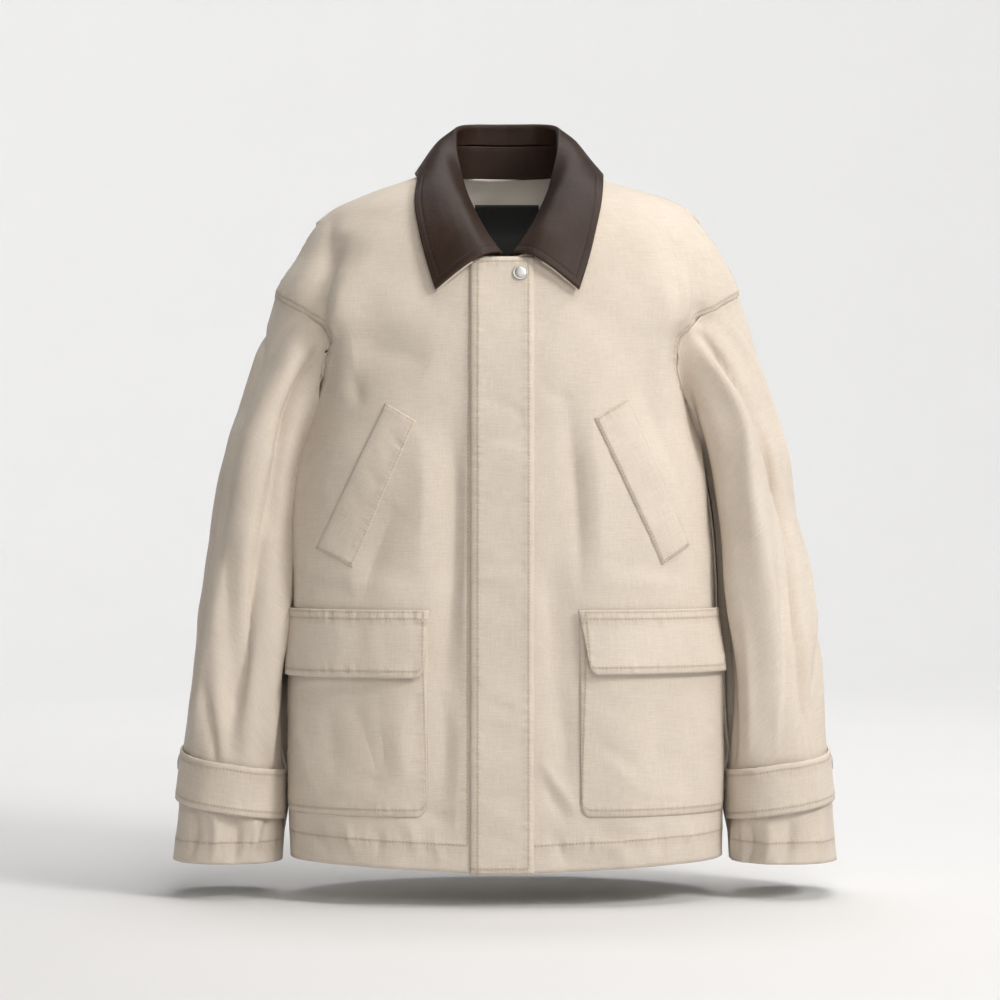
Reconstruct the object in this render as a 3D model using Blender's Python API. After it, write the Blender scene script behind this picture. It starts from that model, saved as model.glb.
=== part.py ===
"""A hip-length waxed cotton jacket with a leather collar, filled out and hollow.

+Z is up and the front faces -Y. The origin is where the shoulders carry it: at the level of the
neck, midway between the sides. "right" and "left" are the wearer's, so right is at -X. Lengths are
metres and angles degrees unless a name says otherwise.

The body is one surface, torso(angle, height), and each sleeve is another. Every piece is a grid of
points on one of them, moved out where it lies on a panel, with a wall of its own thickness.
"""

import bpy
import numpy as np

RIGHT, LEFT = -1, 1
SIDE_NAMES = {RIGHT: "right", LEFT: "left"}

# Walls and gaps
CLOTH_WALL = 0.0016
FOLDED_WALL = 0.0024
LEATHER_WALL = 0.0022
LABEL_WALL = 0.0010
SEAM_GAP = 0.0004
LAY_GAP = 0.0009

# Driving heights
SHOULDER_TIP_Z = -0.128
UNDERARM_Z = -0.262
NECK_FRONT_Z = -0.0985
PLACKET_TOP_Z = -0.0961
HEM_SIDE_Z = -0.679
HEM_FRONT_DROP = 0.008
CUFF_Z = -0.684

# The body's horizontal sections: half widths on each side, the depth from mid_y to the front and to
# the back, and how square each half is (2 is an ellipse). Above the shoulder tip the half widths
# follow the shoulder line.
TORSO_COLUMNS = ("z", "right", "left", "mid_y", "front", "back", "front_square", "back_square")
TORSO_SECTIONS = (
    (0.006, 0.062, 0.062, 0.004, 0.026, 0.066, 2.0, 2.0),
    (0.000, 0.073, 0.072, 0.004, 0.036, 0.074, 2.0, 2.0),
    (-0.012, 0.105, 0.101, 0.004, 0.052, 0.086, 2.0, 2.0),
    (-0.022, 0.134, 0.136, 0.003, 0.066, 0.093, 2.0, 2.0),
    (-0.031, 0.155, 0.162, 0.002, 0.076, 0.098, 2.0, 2.0),
    (-0.040, 0.172, 0.1785, 0.001, 0.084, 0.103, 2.0, 2.0),
    (-0.052, 0.1855, 0.1895, 0.000, 0.092, 0.108, 2.0, 2.0),
    (-0.064, 0.195, 0.1985, -0.002, 0.098, 0.112, 2.0, 2.0),
    (-0.088, 0.2095, 0.2145, -0.004, 0.106, 0.118, 2.0, 2.0),
    (-0.128, 0.231, 0.231, -0.008, 0.112, 0.126, 2.1, 2.0),
    (-0.152, 0.218, 0.214, -0.012, 0.114, 0.132, 2.2, 2.1),
    (-0.175, 0.194, 0.186, -0.016, 0.115, 0.138, 2.3, 2.1),
    (-0.205, 0.189, 0.175, -0.020, 0.114, 0.143, 2.4, 2.1),
    (-0.250, 0.196, 0.181, -0.024, 0.113, 0.147, 2.5, 2.1),
    (-0.310, 0.206, 0.194, -0.028, 0.112, 0.150, 2.6, 2.1),
    (-0.380, 0.213, 0.202, -0.030, 0.110, 0.151, 2.6, 2.1),
    (-0.440, 0.214, 0.205, -0.030, 0.110, 0.151, 2.6, 2.1),
    (-0.500, 0.215, 0.212, -0.030, 0.110, 0.151, 2.6, 2.1),
    (-0.600, 0.216, 0.213, -0.030, 0.110, 0.151, 2.6, 2.1),
    (-0.700, 0.214, 0.212, -0.030, 0.110, 0.151, 2.6, 2.1),
)

# The body's largest folds: soft ridges, or troughs where the depth is negative. The angle is from
# the centre front towards the wearer's left.
FOLD_COLUMNS = ("top_angle", "top_z", "low_angle", "low_z", "width", "depth")
TORSO_FOLDS = (
    (-57.0, -0.060, -66.0, -0.240, 0.014, 0.006),
    (-70.0, -0.070, -72.0, -0.190, 0.010, -0.008),
    (57.0, -0.060, 66.0, -0.250, 0.013, 0.006),
    (70.0, -0.070, 72.0, -0.190, 0.010, -0.007),
    (-24.0, -0.140, -30.0, -0.660, 0.022, -0.004),
    (24.0, -0.200, 27.0, -0.640, 0.020, -0.005),
    (-47.0, -0.420, -50.0, -0.720, 0.024, 0.004),
    (48.0, -0.440, 50.0, -0.720, 0.024, 0.004),
    (-128.0, -0.160, -140.0, -0.700, 0.026, -0.006),
    (130.0, -0.180, 142.0, -0.700, 0.026, -0.006),
    (-165.0, -0.300, -170.0, -0.720, 0.030, 0.005),
    (168.0, -0.340, 160.0, -0.720, 0.028, 0.005),
)

# Rows of points down a panel, and those of them along the armhole
PANEL_ROWS, ARMHOLE_ROWS = 20, 9

# The armhole seam as angle from the centre front and height, from the shoulder tip over the front
# to the underarm, and on over the back.
ARMHOLE_COLUMNS = ("angle", "z")
ARMHOLE = (
    (90.0, SHOULDER_TIP_Z),
    (84.0, -0.134),
    (78.0, -0.143),
    (74.0, -0.158),
    (73.0, -0.180),
    (75.0, -0.206),
    (81.0, -0.238),
    (90.0, UNDERARM_Z),
    (99.0, -0.240),
    (106.0, -0.210),
    (109.0, -0.183),
    (107.0, -0.160),
    (100.0, -0.142),
    (90.0, SHOULDER_TIP_Z),
)

# The neck seam by angle from the centre front
NECK_COLUMNS = ("angle", "z")
NECK_SEAM = (
    (0.0, NECK_FRONT_Z),
    (15.0, -0.0870),
    (30.0, -0.0630),
    (47.0, -0.0355),
    (66.0, -0.012),
    (90.0, 0.000),
    (135.0, 0.000),
    (180.0, 0.000),
)

# The sleeve's horizontal sections: the outer line on each side, mid depth, the depths from there to
# the front and to the back.
SLEEVE_COLUMNS = ("z", "right", "left", "mid_y", "front", "back", "clear")
SLEEVE_SECTIONS = (
    (-0.128, 0.2310, 0.2310, 0.000, 0.070, 0.078, 0.0020),
    (-0.163, 0.2440, 0.2440, 0.001, 0.078, 0.083, 0.0020),
    (-0.200, 0.2550, 0.2530, 0.002, 0.084, 0.086, 0.0022),
    (-0.240, 0.2670, 0.2610, 0.003, 0.088, 0.087, 0.0025),
    (-0.285, 0.2800, 0.2730, 0.004, 0.090, 0.086, 0.0030),
    (-0.350, 0.2925, 0.2855, 0.003, 0.090, 0.083, 0.0030),
    (-0.430, 0.3050, 0.3020, -0.002, 0.086, 0.079, 0.0030),
    (-0.500, 0.3130, 0.3105, -0.008, 0.080, 0.074, 0.0032),
    (-0.580, 0.3205, 0.3170, -0.014, 0.074, 0.069, 0.0042),
    (-0.630, 0.3255, 0.3220, -0.017, 0.070, 0.066, 0.0050),
    (-0.700, 0.3320, 0.3300, -0.019, 0.068, 0.064, 0.0090),
)
SLEEVE_SQUARE = 2.3
CAP_BLEND_OUTER, CAP_BLEND_INNER = 7.0, 24.0
SLEEVE_CLEAR = 0.0012

# The sleeve's largest folds, by angle from the outer line round the front
SLEEVE_FOLDS = (
    (62.0, -0.170, 96.0, -0.600, 0.010, -0.010),
    (112.0, -0.240, 128.0, -0.590, 0.013, 0.005),
    (24.0, -0.150, 40.0, -0.480, 0.018, 0.003),
    (-60.0, -0.200, -80.0, -0.620, 0.012, -0.008),
    (-110.0, -0.260, -118.0, -0.560, 0.013, 0.004),
)

# Placket
PLACKET_SEAM_X = -0.0355
PLACKET_FREE_X = 0.0255
UNDER_PLACKET = 0.0045
UNDERLAP = 0.007

# Slanted welts in the front view: (x, z) of the corners top outer, top inner, low outer, low inner
WELT_CORNERS = {
    RIGHT: ((-0.1166, -0.2369), (-0.0874, -0.2544), (-0.1842, -0.3769), (-0.1488, -0.3948)),
    LEFT: ((0.1157, -0.2325), (0.0831, -0.2523), (0.1760, -0.3739), (0.1497, -0.3924)),
}

# Patch pockets and flaps
POCKET_INNER_X = {RIGHT: 0.0765, LEFT: 0.0700}
POCKET_OUTER_ANGLE = 84.0
POCKET_LOW_Z = -0.633
POCKET_CORNER = 0.013
FLAP_TOP_Z = -0.435
FLAP_LOW_Z = {RIGHT: -0.5000, LEFT: -0.4965}
FLAP_SKEW = {RIGHT: 0.0050, LEFT: 0.0095}
FLAP_OUTER_ANGLES = 83.0, 79.0
FLAP_STAND_OFF = 0.0045

# Cuff straps: the middle line's height at the inner and the outer end, and the strap's height
STRAP_INNER_Z = -0.6190
STRAP_OUTER_Z = -0.5985
STRAP_HEIGHT = 0.048
STRAP_INNER_ANGLE = 168.0
STRAP_OUTER_ANGLE = -34.0
STRAP_STAND_OFF = 0.0045

SNAP_RADIUS = 0.0075
SNAP_HEIGHT = 0.0028
NECK_SNAP_X, NECK_SNAP_Z = 0.0125, -0.1126
SNAP_Z = -0.591

# The collar, from the centre back round to the centre front: the fold on top, the leaf's edge, which
# is then moved clear of the panels, and how far the leaf springs out between them.
COLLAR_COLUMNS = (
    "neck_angle", "fold_x", "fold_y", "fold_z", "edge_x", "edge_y", "edge_z", "spring",
)
COLLAR_STATIONS = (
    (180.0, 0.0000, 0.0710, 0.0520, 0.0000, 0.1040, 0.0060, 0.0060),
    (155.0, 0.0280, 0.0680, 0.0515, 0.0420, 0.0990, 0.0050, 0.0060),
    (132.0, 0.0480, 0.0520, 0.0490, 0.0760, 0.0770, -0.0010, 0.0060),
    (112.0, 0.0560, 0.0290, 0.0420, 0.0920, 0.0400, -0.0040, 0.0060),
    (92.0, 0.0545, 0.0030, 0.0240, 0.0950, 0.0000, -0.0060, 0.0065),
    (72.0, 0.0485, -0.0220, -0.0010, 0.0940, -0.0450, -0.0190, 0.0080),
    (55.0, 0.0415, -0.0450, -0.0240, 0.0910, -0.0720, -0.0420, 0.0105),
    (38.0, 0.0325, -0.0690, -0.0460, 0.0850, -0.0950, -0.0700, 0.0122),
    (22.0, 0.0205, -0.0965, -0.0705, 0.0780, -0.1100, -0.0990, 0.0115),
    (8.8, 0.0080, -0.1110, -0.0905, 0.0690, -0.1200, -0.1285, 0.0105),
)
STAND_SHARE = 0.65
STAND_START = 0.0008
STAND_START_FLAT = 0.0038
FOLD_WIDTH = 0.0064
FOLD_RISE = 0.0026
LEAF_CLEAR = 0.0062
CLEAR_BELOW_Z = 0.010
UNDER_COLLAR_WALL = 0.0010
UNDER_COLLAR_SHOWS = 0.0016

# The storm cape on the back: its rows of the back's grid, and how many columns it ends short of
# each armhole
CAPE_ROWS, CAPE_SHORT = 7, 2
CAPE_TOP_SHARE = 0.16
CAPE_STAND_OFF = 0.0040

LABEL_WIDTH, LABEL_TOP_Z, LABEL_LOW_Z = 0.066, -0.024, -0.076
LABEL_GAP = 0.0026


def columns(names, rows):
    """The table's rows as one array for each named column."""
    return dict(zip(names, np.array(rows, dtype=float).T))


def smooth(knots, values, where):
    """Monotone cubic curve through the values: slopes are weighted harmonic means of the chords'."""
    order = np.argsort(knots)
    knots, values = np.asarray(knots, float)[order], np.asarray(values, float)[order]
    step, rise = np.diff(knots), np.diff(values)
    chord = rise / step
    slope = np.zeros(len(knots))
    same = chord[:-1] * chord[1:] > 0
    before, after = 2 * step[1:] + step[:-1], step[1:] + 2 * step[:-1]
    safe = np.where(same, chord[:-1], 1.0), np.where(same, chord[1:], 1.0)
    slope[1:-1] = np.where(same, (before + after) / (before / safe[0] + after / safe[1]), 0.0)
    slope[0], slope[-1] = chord[0], chord[-1]
    where = np.clip(where, knots[0], knots[-1])
    cell = np.clip(np.searchsorted(knots, where, side="right") - 1, 0, len(step) - 1)
    t = (where - knots[cell]) / step[cell]
    return (
        values[cell] * (1 + 2 * t) * (1 - t) ** 2
        + values[cell + 1] * t**2 * (3 - 2 * t)
        + step[cell] * (slope[cell] * t * (1 - t) ** 2 - slope[cell + 1] * t**2 * (1 - t))
    )


def along(table, share):
    """Smooth points at shares 0 to 1 of a table's length, counted by its rows: one array a column."""
    knots = np.linspace(0, 1, len(next(iter(table.values()))))
    return {name: smooth(knots, values, share) for name, values in table.items()}


TORSO = columns(TORSO_COLUMNS, TORSO_SECTIONS)
SLEEVE = columns(SLEEVE_COLUMNS, SLEEVE_SECTIONS)
ARMHOLE_CURVE = columns(ARMHOLE_COLUMNS, ARMHOLE)
NECK = columns(NECK_COLUMNS, NECK_SEAM)
COLLAR = columns(COLLAR_COLUMNS, COLLAR_STATIONS)


def torso_size(name, z):
    return smooth(TORSO["z"], TORSO[name], z)


def half_width(side, z):
    return torso_size(SIDE_NAMES[side], z)


def fold_height(folds, angle, z, radius):
    """Sum of the soft ridges: a bell across each fold, faded in and out along it."""
    height = np.zeros(np.broadcast(angle, z).shape)
    for row in folds:
        fold = dict(zip(FOLD_COLUMNS, row))
        share = (fold["top_z"] - z) / (fold["top_z"] - fold["low_z"])
        middle = fold["top_angle"] + (fold["low_angle"] - fold["top_angle"]) * share
        across = np.radians(angle - middle) * radius / fold["width"]
        fade = np.sin(np.pi * np.clip(share, 0, 1)) ** 0.7
        height += fold["depth"] * np.exp(-(across**2)) * fade
    return height


def torso_base(angle, z):
    """Points of the body's outer face: superellipse sections by height, with the large folds."""
    angle, z = np.broadcast_arrays(np.asarray(angle, float), np.asarray(z, float))
    angle = (angle + 180.0) % 360.0 - 180.0
    turn = np.radians(angle)
    half = np.where(angle < 0, half_width(RIGHT, z), half_width(LEFT, z))
    front = np.abs(angle) < 90
    depth = np.where(front, torso_size("front", z), torso_size("back", z))
    square = np.where(front, torso_size("front_square", z), torso_size("back_square", z))
    terms = (np.abs(np.cos(turn)) / depth) ** square + (np.abs(np.sin(turn)) / half) ** square
    radius = terms ** (-1 / square) + fold_height(TORSO_FOLDS, angle, z, 0.15)
    return np.stack([radius * np.sin(turn), torso_size("mid_y", z) - radius * np.cos(turn), z], -1)


def moved_out(surface, angle, z, out):
    """Points of a surface of angle and height, moved out along its normal."""
    turn, rise = 0.2, 0.0005
    around = surface(angle + turn, z) - surface(angle - turn, z)
    up = surface(angle, z + rise) - surface(angle, z - rise)
    normal = np.cross(around, up)
    normal /= np.linalg.norm(normal, axis=-1, keepdims=True)
    return surface(angle, z) + normal * np.asarray(out)[..., None]


def torso(angle, z, out=0.0):
    angle, z, out = np.broadcast_arrays(angle, z, out)
    return moved_out(torso_base, angle.astype(float), z.astype(float), out)


def clear_of_body(points, gap, soft):
    """Points moved along the body's normal, with a soft change, until they stand clear by gap."""
    for _ in range(3):
        x, y, z = np.moveaxis(points, -1, 0)
        angle = np.degrees(np.arctan2(x, torso_size("mid_y", z) - y))
        foot = torso_base(angle, z)
        normal = moved_out(torso_base, angle, z, 1.0) - foot
        distance = ((points - foot) * normal).sum(-1)
        wider = (distance + gap + np.sqrt((distance - gap) ** 2 + soft**2)) / 2
        points = points + normal * (wider - distance)[..., None]
    return points


def angle_at(x, z):
    """The angle of the body's front at x in the front view."""
    x, z = np.broadcast_arrays(np.asarray(x, float), np.asarray(z, float))
    half = np.where(x < 0, half_width(RIGHT, z), half_width(LEFT, z))
    square = torso_size("front_square", z)
    share = np.clip(np.abs(x) / half, 0, 1)
    depth = torso_size("front", z) * (1 - share**square) ** (1 / square)
    return np.degrees(np.arctan2(x, depth))


def hem_z(angle):
    """The hem is level at the sides and back and drops a little at the front."""
    return HEM_SIDE_Z - HEM_FRONT_DROP * np.clip(np.cos(np.radians(angle)), 0, 1) ** 2


def armhole(share):
    """Angle and height of the armhole seam at a share of its loop."""
    curve = along(ARMHOLE_CURVE, share)
    return curve["angle"], curve["z"]


def shoulder_line(side, tip_z, count):
    """Heights of points along the shoulder seam, evenly from the neck to tip_z."""
    z_fine = np.linspace(0.0, tip_z, 400)
    run = np.hypot(np.gradient(half_width(side, z_fine)), np.gradient(z_fine))
    length = np.concatenate([[0], np.cumsum((run[1:] + run[:-1]) / 2)])
    return np.interp(np.linspace(0, length[-1], count + 1)[1:], length, z_fine)


def coons_rows(top, outer, low, down):
    """Angles and heights of a panel's rows, each a pair of arrays (angle, z).

    A Coons patch between the top edge, the lower edge and the two side edges, in which the top
    edge's form fades out quickly going down. down holds each row's share of the way.
    """
    inner_angle, inner_z = top[0][0], top[1][0] + (low[1][0] - top[1][0]) * down
    across = (low[0] - low[0][0]) / (low[0][-1] - low[0][0])
    lerp_angle = inner_angle * (1 - across) + outer[0][:, None] * across
    lerp_z = inner_z[:, None] * (1 - across) + outer[1][:, None] * across
    fade_angle = ((1 - down) ** 16)[:, None]
    fade_z = ((1 - down) ** 5)[:, None]
    angle = lerp_angle + (top[0] - lerp_angle[0]) * fade_angle
    z = lerp_z + (top[1] - lerp_z[0]) * fade_z + (low[1] - lerp_z[-1]) * (1 - fade_z)
    return angle, z


def top_edge(side, inner, neck_columns, tip_z, shoulder_columns):
    """The neck seam from the inner edge to the shoulder line, and on along that to tip_z."""
    neck_angle = np.linspace(inner, 90.0, neck_columns + 1)
    angle = np.concatenate([neck_angle, np.full(shoulder_columns, 90.0)])
    neck_z = smooth(NECK["angle"], NECK["z"], neck_angle)
    return angle, np.concatenate([neck_z, shoulder_line(side, tip_z, shoulder_columns)])


def panel_rows(side, inner, neck_columns, shoulder_columns, front):
    """A front or half the back: from its inner edge to the armhole and side seam."""
    down = np.linspace(0, 1, PANEL_ROWS) ** 1.12
    loop = np.linspace(0 if front else 1, 0.5, ARMHOLE_ROWS)
    arm_angle, arm_z = armhole(loop)
    seam_z = np.linspace(UNDERARM_Z, hem_z(90.0), PANEL_ROWS - ARMHOLE_ROWS + 1)[1:]
    outer = np.append(arm_angle, np.full(len(seam_z), 90.0)), np.append(arm_z, seam_z)
    top = top_edge(side, inner, neck_columns, SHOULDER_TIP_Z, shoulder_columns)
    low_angle = np.linspace(inner, 90.0, len(top[0]))
    angle, z = coons_rows(top, outer, (low_angle, hem_z(low_angle)), down)
    return side * angle, z


def grid_normals(points):
    down, across = np.gradient(points, axis=0), np.gradient(points, axis=1)
    normal = np.cross(across, down)
    return normal / np.linalg.norm(normal, axis=-1, keepdims=True)


def wall_between(name, outer, inner, finish):
    """One closed body between two grids of points: both faces and the four edges."""
    rows, across = outer.shape[:2]
    index = np.arange(rows * across).reshape(rows, across)
    a, b, c, d = index[:-1, :-1], index[:-1, 1:], index[1:, 1:], index[1:, :-1]
    face = np.concatenate([np.stack([a, b, c], -1), np.stack([a, c, d], -1)]).reshape(-1, 3)
    rim = np.concatenate([index[0, :], index[1:, -1], index[-1, -2::-1], index[-2:0:-1, 0]])
    after = np.roll(rim, -1)
    under = rows * across
    side = np.concatenate([
        np.stack([rim, rim + under, after + under], -1),
        np.stack([rim, after + under, after], -1),
    ])
    faces = np.concatenate([face, face[:, ::-1] + under, side])
    points = np.concatenate([outer.reshape(-1, 3), inner.reshape(-1, 3)])
    corners = points[faces]
    if np.linalg.det(corners - points.mean(0)).sum() < 0:
        faces = faces[:, ::-1]
    return add_object(name, points, faces, finish)


def add_object(name, points, faces, finish):
    mesh = bpy.data.meshes.new(name)
    mesh.from_pydata(points.tolist(), [], faces.tolist())
    mesh.shade_smooth()
    mesh.set_sharp_from_angle(angle=np.radians(50))
    mesh.materials.append(finish)
    obj = bpy.data.objects.new(name, mesh)
    bpy.context.scene.collection.objects.link(obj)
    return obj


def cloth_wall(name, outer, wall, finish, core):
    """A wall of even thickness inside a grid of outer points. core is a point or points inside."""
    normal = grid_normals(outer)
    if (normal * (outer - core)).sum() < 0:
        normal = -normal
    return wall_between(name, outer, outer - normal * wall, finish)


def material(name, colour, roughness, metallic=0.0):
    made = bpy.data.materials.new(name)
    made.use_nodes = True
    shader = made.node_tree.nodes["Principled BSDF"]
    shader.inputs["Base Color"].default_value = (*colour, 1.0)
    shader.inputs["Roughness"].default_value = roughness
    shader.inputs["Metallic"].default_value = metallic
    made.diffuse_color = (*colour, 1.0)
    return made


def drawn_in(points, gap):
    """The same grid with its outline drawn in by the gap, so that pieces stay apart at a seam."""
    points = points.copy()
    for edge, beside in ((0, 1), (-1, -2)):
        for view in (points, points.swapaxes(0, 1)):
            step = view[beside] - view[edge]
            view[edge] += gap * step / np.linalg.norm(step, axis=-1, keepdims=True)
    return points


def panel_wall(name, angle, z, low, wall, finish):
    """A wall of cloth that follows the body, from low metres outside it outwards."""
    outer = drawn_in(torso(angle, z, low + wall), SEAM_GAP)
    inner = drawn_in(torso(angle, z, low), SEAM_GAP)
    return wall_between(name, outer, inner, finish)


def make_fronts(cloth):
    for side, edge_x in ((RIGHT, PLACKET_SEAM_X + UNDER_PLACKET), (LEFT, PLACKET_SEAM_X + UNDERLAP)):
        inner = side * angle_at(edge_x, HEM_SIDE_Z)
        angle, z = panel_rows(side, float(inner), 7, 8, True)
        panel_wall(f"front_{SIDE_NAMES[side]}", angle, z, -CLOTH_WALL, CLOTH_WALL, cloth)


def both_halves(rows_of):
    """Angles and heights of a piece over the whole back, from its two halves."""
    (right_angle, right_z), (left_angle, left_z) = rows_of(RIGHT), rows_of(LEFT)
    angle = np.concatenate([right_angle[:, :0:-1] + 360.0, left_angle], axis=1)
    return angle, np.concatenate([right_z[:, :0:-1], left_z], axis=1)


def back_half(side):
    return panel_rows(side, 180.0, 6, 9, False)


def make_back(cloth):
    angle, z = both_halves(back_half)
    panel_wall("back", angle, z, -CLOTH_WALL, CLOTH_WALL, cloth)


def make_cape(cloth):
    """The storm cape: the upper middle of the back panel's own grid, standing off towards its
    lower edge and its corners at the shoulders."""
    angle, z = both_halves(back_half)
    angle, z = angle[:CAPE_ROWS, CAPE_SHORT:-CAPE_SHORT], z[:CAPE_ROWS, CAPE_SHORT:-CAPE_SHORT]
    for grid in (angle, z):
        grid[0] += (grid[1] - grid[0]) * CAPE_TOP_SHARE
    down = np.linspace(0, 1, angle.shape[0])[:, None]
    across = np.abs(np.linspace(-1, 1, angle.shape[1]))
    low = SEAM_GAP + CAPE_STAND_OFF * np.maximum(down**0.8, across**10)
    panel_wall("back_cape", angle, z, low, CLOTH_WALL, cloth)


def sleeve_size(name, z):
    return smooth(SLEEVE["z"], SLEEVE[name], z)


def sleeve_base(side):
    """The sleeve's outer face below the armhole, by angle from its outer line and height."""

    def surface(angle, z):
        turn = np.radians(angle)
        outer = sleeve_size(SIDE_NAMES[side], z)
        inner = half_width(side, np.minimum(z, UNDERARM_Z)) + sleeve_size("clear", z)
        front = np.sin(turn) > 0
        depth = np.where(front, sleeve_size("front", z), sleeve_size("back", z))
        half = (outer - inner) / 2
        terms = (np.abs(np.cos(turn)) / half) ** SLEEVE_SQUARE
        terms = terms + (np.abs(np.sin(turn)) / depth) ** SLEEVE_SQUARE
        radius = terms ** (-1 / SLEEVE_SQUARE) + fold_height(SLEEVE_FOLDS, angle, z, 0.065)
        x = (outer + inner) / 2 + radius * np.cos(turn)
        inward = ((1 - np.cos(turn)) / 2) ** 3
        middle = sleeve_size("mid_y", z) * (1 - inward) + torso_size("mid_y", z) * inward
        y = middle - radius * np.sin(turn)
        return np.stack([side * x, y, z + 0 * x], -1)

    return surface


def sleeve_z(angle, share):
    """Height at a share of the sleeve's length: rings tilt at the armhole and are level at the cuff."""
    top = (SHOULDER_TIP_Z + UNDERARM_Z) / 2
    tilt = (SHOULDER_TIP_Z - UNDERARM_Z) / 2 * np.cos(np.radians(angle))
    return (top + tilt) * (1 - share) + CUFF_Z * share


def armhole_edge(side):
    """The panels' corner points round the armhole, front and back, from the shoulder tip."""
    angle, z = armhole(np.linspace(0, 1, 2 * ARMHOLE_ROWS - 1))
    return torso(side * angle, z) + np.array([side * SEAM_GAP, 0.0, -SEAM_GAP])


def sleeve_surface(side):
    """The sleeve's outer face by angle and share of its length: its sections, blended into the
    armhole seam at the top, quickly under the arm and slowly over the shoulder."""
    base = sleeve_base(side)
    edge = armhole_edge(side)
    knots = np.linspace(0, 360, len(edge))

    def surface(angle, share):
        below = base(angle, sleeve_z(angle, share))
        start = base(angle, sleeve_z(angle, 0 * share))
        seam = np.stack([np.interp(angle % 360.0, knots, edge[:, axis]) for axis in range(3)], -1)
        inward = (1 - np.cos(np.radians(angle))) / 2
        power = CAP_BLEND_OUTER + (CAP_BLEND_INNER - CAP_BLEND_OUTER) * inward
        blend = np.clip(1 - share, 0, 1) ** power
        points = below + (seam - start) * blend[..., None]
        return clear_of_body(points, SEAM_GAP + SLEEVE_CLEAR * np.clip(share / 0.04, 0, 1), 0.0006)

    return surface


def make_sleeves(cloth):
    slit = 0.35
    angle = np.linspace(-180, 180, 4 * ARMHOLE_ROWS - 3)[None, :].clip(-180 + slit, 180 - slit)
    share = (np.linspace(0, 1, 18) ** 1.25)[:, None]
    angle, share = (grid.copy() for grid in np.broadcast_arrays(angle, share))
    for side in (RIGHT, LEFT):
        surface = sleeve_surface(side)
        outer = surface(angle, share)
        inner = moved_out(surface, angle, share, np.full(angle.shape, -side * CLOTH_WALL))
        wall_between(f"sleeve_{SIDE_NAMES[side]}", outer, inner, cloth)


def make_placket(cloth):
    x = np.linspace(PLACKET_SEAM_X, PLACKET_FREE_X, 5)[None, :]
    share = np.linspace(0, 1, 19)[:, None]
    low = HEM_SIDE_Z - HEM_FRONT_DROP
    z = PLACKET_TOP_Z + (low - PLACKET_TOP_Z) * share + 0 * x
    angle = angle_at(x + 0 * z, z)
    inner = torso(angle, z, LAY_GAP)
    outer = torso(angle, z, LAY_GAP + FOLDED_WALL)
    wall_between("placket", outer, inner, cloth)


def make_welts(cloth):
    across = np.linspace(0, 1, 4)[None, :, None]
    down = np.linspace(0, 1, 9)[:, None, None]
    for side, corners in WELT_CORNERS.items():
        top_outer, top_inner, low_outer, low_inner = (np.array(corner) for corner in corners)
        top = top_outer * (1 - across) + top_inner * across
        low = low_outer * (1 - across) + low_inner * across
        x, z = np.moveaxis(top * (1 - down) + low * down, -1, 0)
        angle = angle_at(x, z)
        inner = torso(angle, z, LAY_GAP)
        outer = torso(angle, z, LAY_GAP + FOLDED_WALL)
        wall_between(f"welt_{SIDE_NAMES[side]}", outer, inner, cloth)


def make_pockets(cloth):
    """Patch pockets with rounded lower corners, and flaps that stand off towards their lower edge."""
    across = np.linspace(0, 1, 13)[None, :]
    for side in (RIGHT, LEFT):
        inner_angle = float(angle_at(POCKET_INNER_X[side], -0.53))
        angle = inner_angle + (POCKET_OUTER_ANGLE - inner_angle) * across
        width = 0.165
        edge = np.minimum(across, 1 - across) * width
        corner = POCKET_CORNER - np.clip(POCKET_CORNER - edge, 0, POCKET_CORNER)
        rise = POCKET_CORNER - np.sqrt(POCKET_CORNER**2 - (POCKET_CORNER - corner) ** 2)
        down = np.linspace(0, 1, 9)[:, None]
        top = FLAP_TOP_Z - 0.004
        z = top + (POCKET_LOW_Z + rise - top) * down
        angle = side * (angle + 0 * z)
        name = SIDE_NAMES[side]
        inner = torso(angle, z, LAY_GAP)
        outer = torso(angle, z, LAY_GAP + CLOTH_WALL)
        wall_between(f"pocket_{name}", outer, inner, cloth)

        down = np.linspace(0, 1, 5)[:, None]
        start = inner_angle - 0.4
        inner_edge = start + np.degrees(FLAP_SKEW[side] / 0.15) * down
        outer_edge = FLAP_OUTER_ANGLES[0] * (1 - down) + FLAP_OUTER_ANGLES[1] * down
        angle = side * (inner_edge * (1 - across) + outer_edge * across)
        z = FLAP_TOP_Z + (FLAP_LOW_Z[side] - FLAP_TOP_Z) * down + 0 * across
        stand_off = 2 * LAY_GAP + CLOTH_WALL + FLAP_STAND_OFF * np.clip(down - 0.15, 0, 1) + 0 * across
        inner = torso(angle, z, stand_off)
        outer = torso(angle, z, stand_off + FOLDED_WALL)
        wall_between(f"flap_{name}", outer, inner, cloth)


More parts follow.
